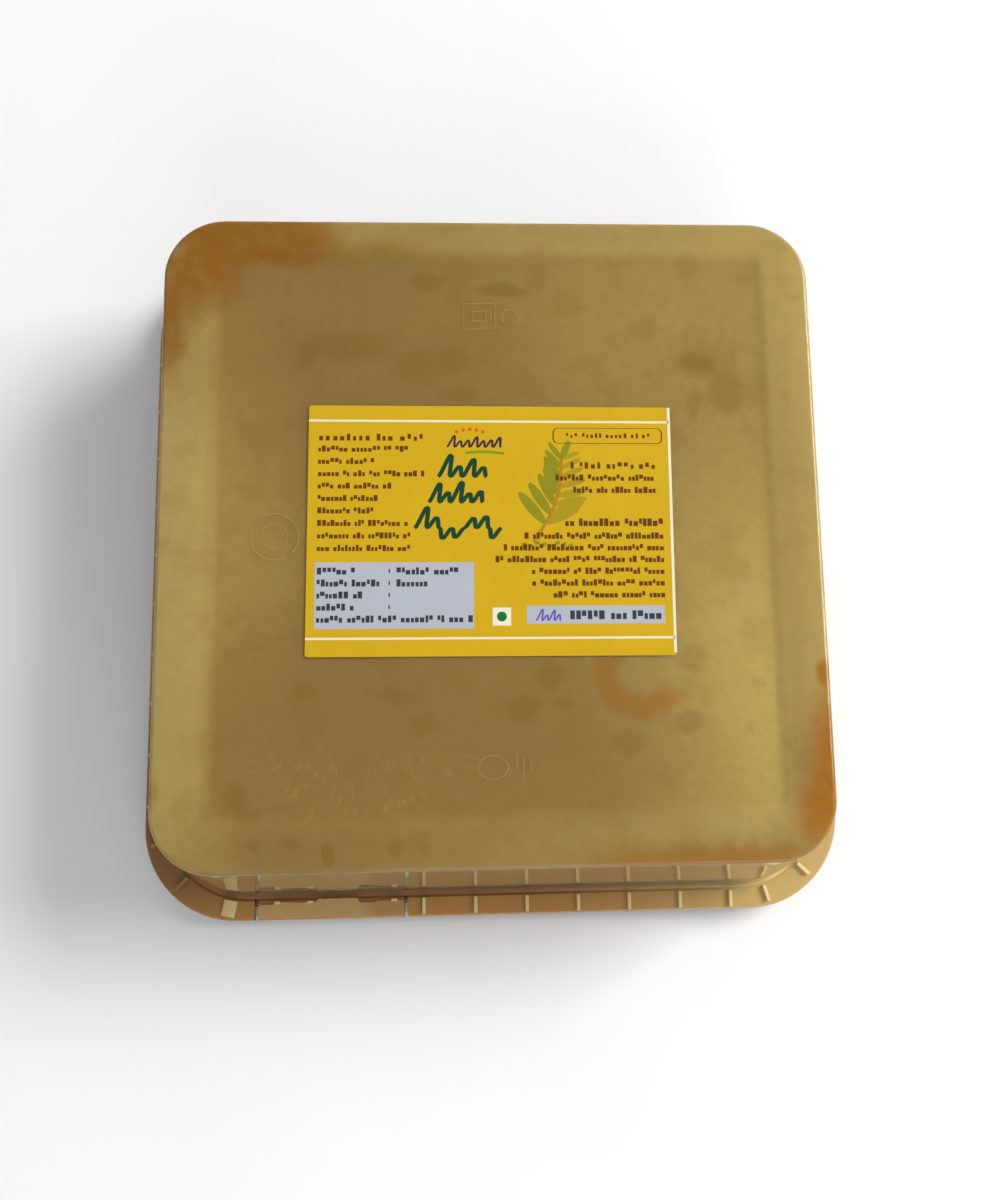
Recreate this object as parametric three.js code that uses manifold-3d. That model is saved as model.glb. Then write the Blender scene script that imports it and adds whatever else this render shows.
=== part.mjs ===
// A square tamper-evident tub of set jaggery, turned over so that it stands on its lid.
// The flat base, with its back label, is on top; the wall runs down to a ribbed flange.
// Units are millimetres, +Z is up, and the origin is the middle of the footprint.
import * as THREE from 'three';
import { mergeVertices } from 'three/addons/utils/BufferGeometryUtils.js';
import Module from 'manifold-3d';

const wasm = await Module();
wasm.setup();

// ---- driving dimensions ------------------------------------------------------------

const TOTAL_HEIGHT = 41;
const BASE_HALF = 60; // half the width of the square base
const BASE_CORNER = 11.2; // corner radius of the base, seen from above
const SHEET = 0.9; // thickness of the moulded plastic

const WALL_DROP = 34.5; // from the base down to the top of the flange
const WALL_FLARE = 5; // how far the draft carries the wall outward over that drop
const EDGE_ROUND = 0.8; // rounding between base and wall
const GROOVE_WIDTH = 0.9; // channel that runs round the foot of the wall
const GROOVE_DEPTH = 0.4;
const FLANGE_REACH = 9.65; // outer edge of the flange, beyond the base
const FLANGE_TIGHTER = 2.2; // the flange's corners are rounded this much less
const FLANGE_ROUND = 0.4;
const LIP_DROP = 1.8; // downturned outer edge of the flange

const PANEL_SIDES = { left: -50, right: 51, front: -50.8, back: 53.5 }; // sunk base panel
const PANEL_CORNER = 3;
const PANEL_SINK = 0.4;
const PANEL_SLOPE = 1.2; // half the width of the slope along those sides

const RIM_BOTTOM = 1.5; // lowest edge of the tub's own rim, inside the lid
const BEAD_REACH = 0.45; // snap bead on the rim
const BEAD_HALF_HEIGHT = 0.6;

const RIB_PITCH = 10.25;
const RIB_SHIFT = 0.8; // the row of ribs along a side is this far off its middle
const RIBS_PER_SIDE = 10;
const RIB_WIDTH = 0.7;
const RIB_HEIGHT = 0.9;
const RIB_ROOT = 0.5; // how far a rib reaches into the flange, and stops short of its edge
const CORNER_RIB_ANGLES = [17, 45, 78]; // degrees round each corner
const WIDE_RIB_WIDTH = 2.6;

const TAB_CENTRE = -32.8; // along the front side
const TAB_WIDTH = 29.4; // between the middles of its two slots
const TAB_SLOT = 0.75;
const TAB_HEIGHT = 0.6; // the tab stands this far above the flange
const TAB_GAP = 1.2; // from the wall to the torn inner edge of the tab
const NIB_WIDTH = 1.2; // the little bridges that are left on that edge
const NIB_HEIGHT = 0.9;

const LID_REACH = 7; // outer face of the lid's skirt, beyond the base
const LID_TOP = 4.3; // upper edge of that skirt
const LID_SKIRT = 1.1;
const LID_BRIM_REACH = 8.9; // the brim that shows through the tab's slots, under the flange
const LID_BRIM = 0.9; // its thickness
const LID_FLOOR = 1.1; // thickness of the ring that the tub stands on
const LID_PANEL_RISE = 1.2; // the lid's middle is clear of the floor by this much
const LID_PANEL_HALF = 55;
const LID_SLOPE = 1.5;
const LID_CORNER = 8;
const LID_ROUND = 0.5;

const FIT = 0.2; // clearance between separate pieces
const BLOCK_THICKNESS = 22.5; // depth of the jaggery
const BLOCK_MENISCUS = 1.2; // how far it has climbed the wall as it set
const BLOCK_MENISCUS_WIDTH = 5;

const LABEL_WIDTH = 66.1;
const LABEL_DEPTH = 46.4;
const LABEL_SHIFT = [-0.4, 0.48];
const LABEL_THICKNESS = 0.2;
const LABEL_CORNER = 0.5;
const LABEL_LIFT = 0.1;
const LABEL_TURN = -0.45; // degrees

const CORNER_STEPS = 12; // facets round a corner
const ROUND_STEPS = 3; // facets round a small edge

// ---- materials ---------------------------------------------------------------------

const material = (color, roughness, opacity = 1) => new THREE.MeshStandardMaterial({
  color, roughness, metalness: 0, opacity, transparent: opacity < 1,
});

const MATERIALS = {
  tub: material(0xb39a63, 0.25, 0.6),
  lid: material(0xd9cfb4, 0.25, 0.5),
  jaggery: material(0x9a7f45, 0.7),
  label: material(0xd4af1c, 0.45),
};

// ---- lofting between rounded squares -----------------------------------------------

/** One level of a loft: a rounded square with half width, corner radius and height. */
const level = (half, corner, z) => (
  { left: -half, right: half, front: -half, back: half, corner, z }
);

/** A level that runs parallel to the base's outline, a distance outside it. */
const offsetLevel = (outward, z) => level(BASE_HALF + outward, BASE_CORNER + outward, z);

/** A level that runs parallel to the sunk panel's sides, a distance outside them. */
const panelLevel = (outward, z) => ({
  left: PANEL_SIDES.left - outward,
  right: PANEL_SIDES.right + outward,
  front: PANEL_SIDES.front - outward,
  back: PANEL_SIDES.back + outward,
  corner: PANEL_CORNER + outward,
  z,
});

/** A level of the flange, whose corners are tighter than the wall's. */
const flangeLevel = (outward, z) => (
  level(BASE_HALF + outward, BASE_CORNER + outward - FLANGE_TIGHTER, z)
);

/** Points round one level, anticlockwise from above, starting at the right of the back. */
function ringPoints({ left, right, front, back, corner, z }) {
  const centres = [
    [right - corner, back - corner],
    [left + corner, back - corner],
    [left + corner, front + corner],
    [right - corner, front + corner],
  ];
  const points = [];
  centres.forEach(([x, y], quarter) => {
    for (let step = 0; step <= CORNER_STEPS; step += 1) {
      const angle = (quarter + step / CORNER_STEPS) * (Math.PI / 2);
      points.push(new THREE.Vector3(
        x + corner * Math.cos(angle),
        y + corner * Math.sin(angle),
        z,
      ));
    }
  });
  return points;
}

/** Levels that round an edge, from one angle to another of a quarter circle. */
function roundedLevels(outward, z, radius, fromDegrees, toDegrees, makeLevel = offsetLevel) {
  const levels = [];
  for (let step = 0; step <= ROUND_STEPS; step += 1) {
    const angle = THREE.MathUtils.degToRad(
      THREE.MathUtils.lerp(fromDegrees, toDegrees, step / ROUND_STEPS),
    );
    levels.push(makeLevel(outward + radius * Math.cos(angle), z + radius * Math.sin(angle)));
  }
  return levels;
}

/** A closed body whose skin passes through the levels, with its two ends capped. */
function loft(levels) {
  const rings = levels.map(ringPoints);
  const count = rings[0].length;
  const positions = rings.flat().flatMap((point) => point.toArray());
  const indices = [];
  for (let ring = 0; ring + 1 < rings.length; ring += 1) {
    for (let i = 0; i < count; i += 1) {
      const next = (i + 1) % count;
      const a = ring * count + i;
      const b = ring * count + next;
      const c = a + count;
      const d = b + count;
      indices.push(a, c, b, b, c, d);
    }
  }
  const flat = rings[0].map((point) => new THREE.Vector2(point.x, point.y));
  const lastStart = (rings.length - 1) * count;
  for (const [a, b, c] of THREE.ShapeUtils.triangulateShape(flat, [])) {
    indices.push(a, b, c, lastStart + a, lastStart + c, lastStart + b);
  }
  const geometry = new THREE.BufferGeometry();
  geometry.setAttribute('position', new THREE.Float32BufferAttribute(positions, 3));
  geometry.setIndex(indices);
  return geometry;
}

// ---- joining and cutting -----------------------------------------------------------

function toSolid(geometry) {
  const bare = geometry.clone();
  bare.deleteAttribute('normal');
  bare.deleteAttribute('uv');
  const merged = mergeVertices(bare, 1e-4);
  return new wasm.Manifold(new wasm.Mesh({
    numProp: 3,
    vertProperties: new Float32Array(merged.attributes.position.array),
    triVerts: new Uint32Array(merged.index.array),
  }));
}

function toGeometry(solid) {
  const { vertProperties, triVerts } = solid.getMesh();
  const geometry = new THREE.BufferGeometry();
  geometry.setAttribute('position', new THREE.BufferAttribute(vertProperties, 3));
  geometry.setIndex(new THREE.BufferAttribute(triVerts, 1));
  return geometry;
}

// ---- the tub -----------------------------------------------------------------------

const FLANGE_TOP = TOTAL_HEIGHT - WALL_DROP;
const RIM_OUTER = WALL_FLARE + 0.1; // the rim goes on straight down below the flange
const INNER_TOP = TOTAL_HEIGHT - SHEET;

/** The base: sunk panel, slope, shoulder and the rounded edge into the wall. */
function baseLevels(z, inset, edgeRadius) {
  return [
    panelLevel(-PANEL_SLOPE, z - PANEL_SINK),
    panelLevel(PANEL_SLOPE, z),
    ...roundedLevels(-inset - edgeRadius, z - edgeRadius, edgeRadius, 90, 0),
  ];
}

function tubShell() {
  const lipTop = FLANGE_TOP - FLANGE_ROUND;
  const lipBottom = FLANGE_TOP - LIP_DROP;
  const underside = FLANGE_TOP - SHEET;
  const beadMiddle = RIM_BOTTOM + 2 * BEAD_HALF_HEIGHT;
  const rimInner = RIM_OUTER - SHEET;
  return loft([
    ...baseLevels(TOTAL_HEIGHT, 0, EDGE_ROUND),
    offsetLevel(WALL_FLARE, FLANGE_TOP - GROOVE_DEPTH),
    offsetLevel(WALL_FLARE + GROOVE_WIDTH / 2, FLANGE_TOP - GROOVE_DEPTH),
    offsetLevel(WALL_FLARE + GROOVE_WIDTH, FLANGE_TOP),
    ...roundedLevels(FLANGE_REACH - FLANGE_ROUND, lipTop, FLANGE_ROUND, 90, 0, flangeLevel),
    flangeLevel(FLANGE_REACH, lipBottom),
    flangeLevel(FLANGE_REACH - SHEET, lipBottom),
    flangeLevel(FLANGE_REACH - SHEET, underside),
    offsetLevel(RIM_OUTER, underside),
    offsetLevel(RIM_OUTER, beadMiddle + BEAD_HALF_HEIGHT),
    offsetLevel(RIM_OUTER + BEAD_REACH, beadMiddle),
    offsetLevel(RIM_OUTER, beadMiddle - BEAD_HALF_HEIGHT),
    offsetLevel(RIM_OUTER, RIM_BOTTOM),
    offsetLevel(rimInner, RIM_BOTTOM),
    offsetLevel(rimInner, underside),
    ...baseLevels(INNER_TOP, SHEET, EDGE_ROUND - FIT).reverse(),
  ]);
}

/** A stiffening rib lying outward along +X from an inner to an outer distance. */
function ribBar(inner, outer, width) {
  const height = RIB_HEIGHT + RIB_ROOT;
  const bar = new THREE.BoxGeometry(outer - inner, width, height);
  bar.translate((inner + outer) / 2, 0, FLANGE_TOP - RIB_ROOT + height / 2);
  return bar;
}

/** Ribs square to the sides, apart from those that the tear tab takes the place of. */
function sideRibs() {
  const inner = BASE_HALF + WALL_FLARE + GROOVE_WIDTH;
  const outer = BASE_HALF + FLANGE_REACH - RIB_ROOT;
  const bars = [];
  for (let side = 0; side < 4; side += 1) {
    for (let i = 0; i < RIBS_PER_SIDE; i += 1) {
      const along = (i - (RIBS_PER_SIDE - 1) / 2) * RIB_PITCH + RIB_SHIFT;
      const onTab = side === 0 && Math.abs(along - TAB_CENTRE) < TAB_WIDTH / 2;
      if (!onTab) {
        const bar = ribBar(inner, outer, RIB_WIDTH);
        bar.rotateZ(-Math.PI / 2).translate(along, 0, 0).rotateZ((side * Math.PI) / 2);
        bars.push(bar);
      }
    }
  }
  return bars;
}

/** Ribs that fan out round the corners; the first one beside the tab is a wide one. */
function cornerRibs() {
  const reach = BASE_HALF - BASE_CORNER;
  const inner = BASE_CORNER + WALL_FLARE + GROOVE_WIDTH;
  const outer = BASE_CORNER + FLANGE_REACH - RIB_ROOT;
  const bars = [];
  for (let corner = 0; corner < 4; corner += 1) {
    CORNER_RIB_ANGLES.forEach((degrees, order) => {
      const isWide = corner === 2 && order === CORNER_RIB_ANGLES.length - 1;
      const bar = ribBar(inner, outer, isWide ? WIDE_RIB_WIDTH : RIB_WIDTH);
      bar.rotateZ(THREE.MathUtils.degToRad(degrees)).translate(reach, reach, 0);
      bars.push(bar.rotateZ((corner * Math.PI) / 2));
    });
  }
  return bars;
}

/** The raised tab, with an uneven inner edge where its bridges have torn. */
function tearTab() {
  const left = TAB_CENTRE - (TAB_WIDTH - TAB_SLOT) / 2;
  const right = TAB_CENTRE + (TAB_WIDTH - TAB_SLOT) / 2;
  const wallY = -(BASE_HALF + WALL_FLARE);
  const tornY = wallY - TAB_GAP;
  const proudY = tornY + TAB_GAP / 2;
  const outerY = -(BASE_HALF + FLANGE_REACH - FLANGE_ROUND);
  const outline = new THREE.Shape([
    new THREE.Vector2(left, outerY),
    new THREE.Vector2(right, outerY),
    new THREE.Vector2(right, tornY),
    new THREE.Vector2(TAB_CENTRE + TAB_WIDTH / 5, tornY - TAB_GAP / 4),
    new THREE.Vector2(TAB_CENTRE + TAB_WIDTH / 6, proudY),
    new THREE.Vector2(TAB_CENTRE - TAB_WIDTH / 12, proudY),
    new THREE.Vector2(TAB_CENTRE - TAB_WIDTH / 8, tornY),
    new THREE.Vector2(left, tornY - TAB_GAP / 4),
  ]);
  const plate = new THREE.ExtrudeGeometry(outline, {
    depth: TAB_HEIGHT + RIB_ROOT, bevelEnabled: false,
  });
  plate.translate(0, 0, FLANGE_TOP - RIB_ROOT);
  const nibs = [-0.36, -0.14, 0.42].map((share) => {
    const nib = new THREE.BoxGeometry(NIB_WIDTH, TAB_GAP, NIB_HEIGHT + RIB_ROOT);
    const z = FLANGE_TOP - RIB_ROOT + (NIB_HEIGHT + RIB_ROOT) / 2;
    return nib.translate(TAB_CENTRE + share * TAB_WIDTH, tornY, z);
  });
  return [plate, ...nibs];
}

/** The two slots that part the tab from the rest of the flange. */
function tabSlots() {
  const inner = BASE_HALF + WALL_FLARE + TAB_GAP / 2;
  const outer = BASE_HALF + FLANGE_REACH + 1;
  return [-1, 1].map((side) => {
    const slot = new THREE.BoxGeometry(TAB_SLOT, outer - inner, LIP_DROP * 3);
    const x = TAB_CENTRE + (side * TAB_WIDTH) / 2;
    return slot.translate(x, -(inner + outer) / 2, FLANGE_TOP);
  });
}

function makeTub() {
  let tub = toSolid(tubShell());
  for (const piece of [...sideRibs(), ...cornerRibs(), ...tearTab()]) {
    tub = tub.add(toSolid(piece));
  }
  for (const slot of tabSlots()) {
    tub = tub.subtract(toSolid(slot));
  }
  return toGeometry(tub);
}

// ---- the lid, which the tub stands on ----------------------------------------------

function makeLid() {
  const inner = LID_REACH - LID_SKIRT;
  const panelTop = LID_PANEL_RISE + SHEET;
  return loft([
    level(LID_PANEL_HALF, LID_CORNER, panelTop),
    level(LID_PANEL_HALF + LID_SLOPE, LID_CORNER + LID_SLOPE, LID_FLOOR),
    offsetLevel(inner, LID_FLOOR),
    offsetLevel(inner, LID_TOP),
    offsetLevel(LID_BRIM_REACH, LID_TOP),
    offsetLevel(LID_BRIM_REACH, LID_TOP - LID_BRIM),
    offsetLevel(LID_REACH, LID_TOP - LID_BRIM),
    ...roundedLevels(LID_REACH - LID_ROUND, LID_ROUND, LID_ROUND, 0, -90),
    level(LID_PANEL_HALF + LID_SLOPE, LID_CORNER + LID_SLOPE, 0),
    level(LID_PANEL_HALF, LID_CORNER, LID_PANEL_RISE),
  ]);
}

// ---- the jaggery -------------------------------------------------------------------

/** The set block: it lies against the base, and its free face is the one below. */
function makeJaggery() {
  const top = INNER_TOP - FIT;
  const bottom = top - BLOCK_THICKNESS;
  const wallAt = (z) => WALL_FLARE * ((TOTAL_HEIGHT - z) / WALL_DROP) - SHEET - FIT;
  const skirt = bottom - BLOCK_MENISCUS;
  return loft([
    ...baseLevels(top, SHEET + FIT, EDGE_ROUND - FIT),
    offsetLevel(wallAt(skirt), skirt),
    offsetLevel(wallAt(skirt) - BLOCK_MENISCUS_WIDTH / 4, skirt + BLOCK_MENISCUS * 0.6),
    offsetLevel(wallAt(skirt) - BLOCK_MENISCUS_WIDTH / 2, skirt + BLOCK_MENISCUS * 0.9),
    offsetLevel(wallAt(skirt) - BLOCK_MENISCUS_WIDTH, bottom),
  ]);
}

// ---- the back label ----------------------------------------------------------------

function makeLabel() {
  const halfX = LABEL_WIDTH / 2;
  const halfY = LABEL_DEPTH / 2;
  const outline = new THREE.Shape();
  outline.moveTo(-halfX + LABEL_CORNER, -halfY);
  outline.absarc(halfX - LABEL_CORNER, -halfY + LABEL_CORNER, LABEL_CORNER, -Math.PI / 2, 0);
  outline.absarc(halfX - LABEL_CORNER, halfY - LABEL_CORNER, LABEL_CORNER, 0, Math.PI / 2);
  outline.absarc(-halfX + LABEL_CORNER, halfY - LABEL_CORNER, LABEL_CORNER, Math.PI / 2, Math.PI);
  outline.absarc(-halfX + LABEL_CORNER, -halfY + LABEL_CORNER, LABEL_CORNER, Math.PI, 1.5 * Math.PI);
  return new THREE.ExtrudeGeometry(outline, {
    depth: LABEL_THICKNESS, bevelEnabled: false, curveSegments: 3,
  });
}

// ---- assembly ----------------------------------------------------------------------

function part(name, geometry, surface) {
  const mesh = new THREE.Mesh(geometry, surface);
  mesh.name = name;
  return mesh;
}

const label = part('label', makeLabel(), MATERIALS.label);
label.position.set(...LABEL_SHIFT, TOTAL_HEIGHT - PANEL_SINK + LABEL_LIFT);
label.rotation.z = THREE.MathUtils.degToRad(LABEL_TURN);

const group = new THREE.Group();
group.add(
  part('tub', makeTub(), MATERIALS.tub),
  part('lid', makeLid(), MATERIALS.lid),
  part('jaggery', makeJaggery(), MATERIALS.jaggery),
  label,
);

export default group;
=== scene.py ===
"""Dresses a shut square tub of set jaggery that stands on its lid with its base up.

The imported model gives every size. The script builds the moulded shell, the lid, the block of
jaggery behind the plastic and the printed back label, and lights them in a plain studio.
"""

import logging
import math
import random
from collections.abc import Callable, Iterable, Sequence
from dataclasses import dataclass, field, replace
from enum import Enum

import bmesh
import bpy
from mathutils import Euler, Matrix, Vector, noise


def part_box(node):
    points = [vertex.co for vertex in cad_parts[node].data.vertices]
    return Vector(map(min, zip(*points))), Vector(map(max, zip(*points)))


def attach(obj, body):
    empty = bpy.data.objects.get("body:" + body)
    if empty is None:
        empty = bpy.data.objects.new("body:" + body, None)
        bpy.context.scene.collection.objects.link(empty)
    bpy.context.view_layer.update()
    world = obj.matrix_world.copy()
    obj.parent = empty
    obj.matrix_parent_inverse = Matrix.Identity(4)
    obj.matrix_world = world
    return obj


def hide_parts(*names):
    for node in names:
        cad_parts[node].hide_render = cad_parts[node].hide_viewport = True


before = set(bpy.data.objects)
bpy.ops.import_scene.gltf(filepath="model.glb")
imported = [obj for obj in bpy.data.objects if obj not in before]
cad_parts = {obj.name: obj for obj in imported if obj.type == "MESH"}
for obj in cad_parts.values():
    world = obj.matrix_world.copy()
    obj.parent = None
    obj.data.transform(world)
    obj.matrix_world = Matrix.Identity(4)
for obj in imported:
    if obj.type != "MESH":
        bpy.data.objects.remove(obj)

LOG = logging.getLogger("tub")
MM = 0.001  # metres in a millimetre
BODY = "root"
SHARP_DEGREES = 35.0  # edges that bend more than this stay sharp
NOWHERE = (0.0, 0.0, 0.0)
FLAT = (1.0, 1.0, 0.0)  # drops a vector's z
Colour = tuple[float, float, float]
Material, Mesh, Piece = bpy.types.Material, bmesh.types.BMesh, bpy.types.Object
Vert, Edge, Face = bmesh.types.BMVert, bmesh.types.BMEdge, bmesh.types.BMFace
Socket = bpy.types.NodeSocket
Sockets = dict[str, Socket]


def srgb(red: int, green: int, blue: int) -> Colour:
    """Turns a screen colour into the linear one that shaders use.

    Args:
        red: Red, from 0 to 255.
        green: Green, from 0 to 255.
        blue: Blue, from 0 to 255.

    Returns:
        The linear colour.
    """

    def linear(value: int) -> float:
        """One channel."""
        share = value / 255
        return share / 12.92 if share <= 0.04045 else ((share + 0.055) / 1.055) ** 2.4

    return linear(red), linear(green), linear(blue)


# ---- node trees ---------------------------------------------------------------------


class Graph:
    """A node tree under construction, with short ways to add and join nodes."""

    def __init__(self, tree: bpy.types.NodeTree) -> None:
        """Keeps the tree that the nodes go into."""
        self.tree = tree

    def add(self, kind: str, settings: dict | None = None, **inputs: object) -> bpy.types.Node:
        """Adds a node, sets it up and feeds its inputs.

        Args:
            kind: The node's type name.
            settings: The node's own properties.
            **inputs: Values or sockets by input name, with underscores for spaces, or
                i0, i1 and so on by number.

        Returns:
            The new node.
        """
        node = self.tree.nodes.new(kind)
        for key, value in (settings or {}).items():
            setattr(node, key, value)
        for key, value in inputs.items():
            numbered = key[0] == "i" and key[1:].isdigit()
            socket = node.inputs[int(key[1:])] if numbered else node.inputs[key.replace("_", " ")]
            self.feed(socket, value)
        return node

    def feed(self, socket: Socket, value: object) -> None:
        """Links a socket into another, or sets its plain value.

        Args:
            socket: The socket that takes it.
            value: A socket or a plain value.
        """
        if isinstance(value, Socket):
            self.tree.links.new(value, socket)
        else:
            socket.default_value = value

    def math(self, operation: str, a: object, b: object = 0.0, clamp: bool = False) -> Socket:
        """Adds a math node and returns its result."""
        node = self.add("ShaderNodeMath", {"operation": operation, "use_clamp": clamp}, i0=a, i1=b)
        return node.outputs[0]

    def times(self, value: object, *others: object) -> Socket:
        """Multiplies a value by others in turn.

        Args:
            value: The first factor, plain or as a socket.
            *others: The other factors.

        Returns:
            The product.
        """
        for other in others:
            value = self.math("MULTIPLY", value, other)
        return value

    def rest(self, value: object) -> Socket:
        """Takes a value from one."""
        return self.math("SUBTRACT", 1.0, value)

    def axes(self, vector: object) -> list[Socket]:
        """Splits a vector into x, y and z."""
        return self.add("ShaderNodeSeparateXYZ", Vector=vector).outputs[:]

    def vector(self, operation: str, a: object, b: object = NOWHERE) -> Socket:
        """Adds a vector math node and returns its vector, or its value for a length."""
        node = self.add("ShaderNodeVectorMath", {"operation": operation}, i0=a, i1=b)
        return node.outputs["Value" if operation == "LENGTH" else "Vector"]

    def ramp(self, value: object, low: object, high: object, start: float = 0.0, end: float = 1.0
             ) -> Socket:
        """Maps a value smoothly from a range onto start and end.

        Args:
            value: The value.
            low: Where the range starts.
            high: Where it ends, which may be lower.
            start: The result at its start.
            end: The result at its end.

        Returns:
            The result.
        """
        node = self.add("ShaderNodeMapRange", {"interpolation_type": "SMOOTHSTEP"},
                        Value=value, From_Min=low, From_Max=high, To_Min=start, To_Max=end)
        return node.outputs["Result"]

    def blend(self, factor: object, a: object, b: object) -> Socket:
        """Mixes two colours and returns the result.

        Args:
            factor: The share of the second colour.
            a: The first colour, plain or as a socket.
            b: The second one.

        Returns:
            The mix.
        """
        node = self.add("ShaderNodeMix", {"data_type": "RGBA"})
        self.feed(node.inputs["Factor"], factor)
        for number, colour in ((6, a), (7, b)):
            self.feed(node.inputs[number], colour if isinstance(colour, Socket) else (*colour, 1.0))
        return node.outputs[2]

    def relief(self, shader: bpy.types.Node, height: Socket, depth: float, strength: float) -> None:
        """Feeds a shader's normal with a relief of a depth in millimetres."""
        bump = self.add("ShaderNodeBump", Height=height, Distance=depth * MM, Strength=strength)
        self.feed(shader.inputs["Normal"], bump.outputs["Normal"])


class Recipe:
    """A shader node group that turns a point into a mask, built once and used by several materials."""

    def __init__(self, name: str, body: Callable[[Graph, Sockets], Socket],
                 **inputs: float | tuple) -> None:
        """Makes the group.

        Args:
            name: The group's name.
            body: A function that builds the nodes and returns the mask.
            **inputs: Default values by input name, beside the point; a tuple makes a vector input.
        """
        self.tree = bpy.data.node_groups.new(name, "ShaderNodeTree")
        for key, value in {"Point": NOWHERE, **inputs}.items():
            kind = "NodeSocketVector" if isinstance(value, tuple) else "NodeSocketFloat"
            socket = self.tree.interface.new_socket(key, in_out="INPUT", socket_type=kind)
            socket.default_value = value
        self.tree.interface.new_socket("Mask", in_out="OUTPUT", socket_type="NodeSocketFloat")
        graph = Graph(self.tree)
        source = graph.add("NodeGroupInput")
        sink = graph.add("NodeGroupOutput")
        graph.feed(sink.inputs[0], body(graph, {end.name: end for end in source.outputs if end.name}))

    def use(self, graph: Graph, point: Socket, **inputs: object) -> Socket:
        """Places the group in a material.

        Args:
            graph: The material's nodes.
            point: The point on the piece, in millimetres.
            **inputs: Values or sockets by input name.

        Returns:
            The mask.
        """
        node = graph.add("ShaderNodeGroup", {"node_tree": self.tree}, Point=point, **inputs)
        return node.outputs[0]


@dataclass(frozen=True)
class Stain:
    """A patch of another colour, in millimetres."""

    x: float
    y: float
    radius_x: float
    radius_y: float
    strength: float  # below 0 it bares what it lies over
    ragged: float = 4.0
    softness: float = 0.45


def stains(*rows: tuple[float, ...]) -> tuple[Stain, ...]:
    """Makes a set of stains from rows of their values."""
    return tuple(Stain(*row) for row in rows)


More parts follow.
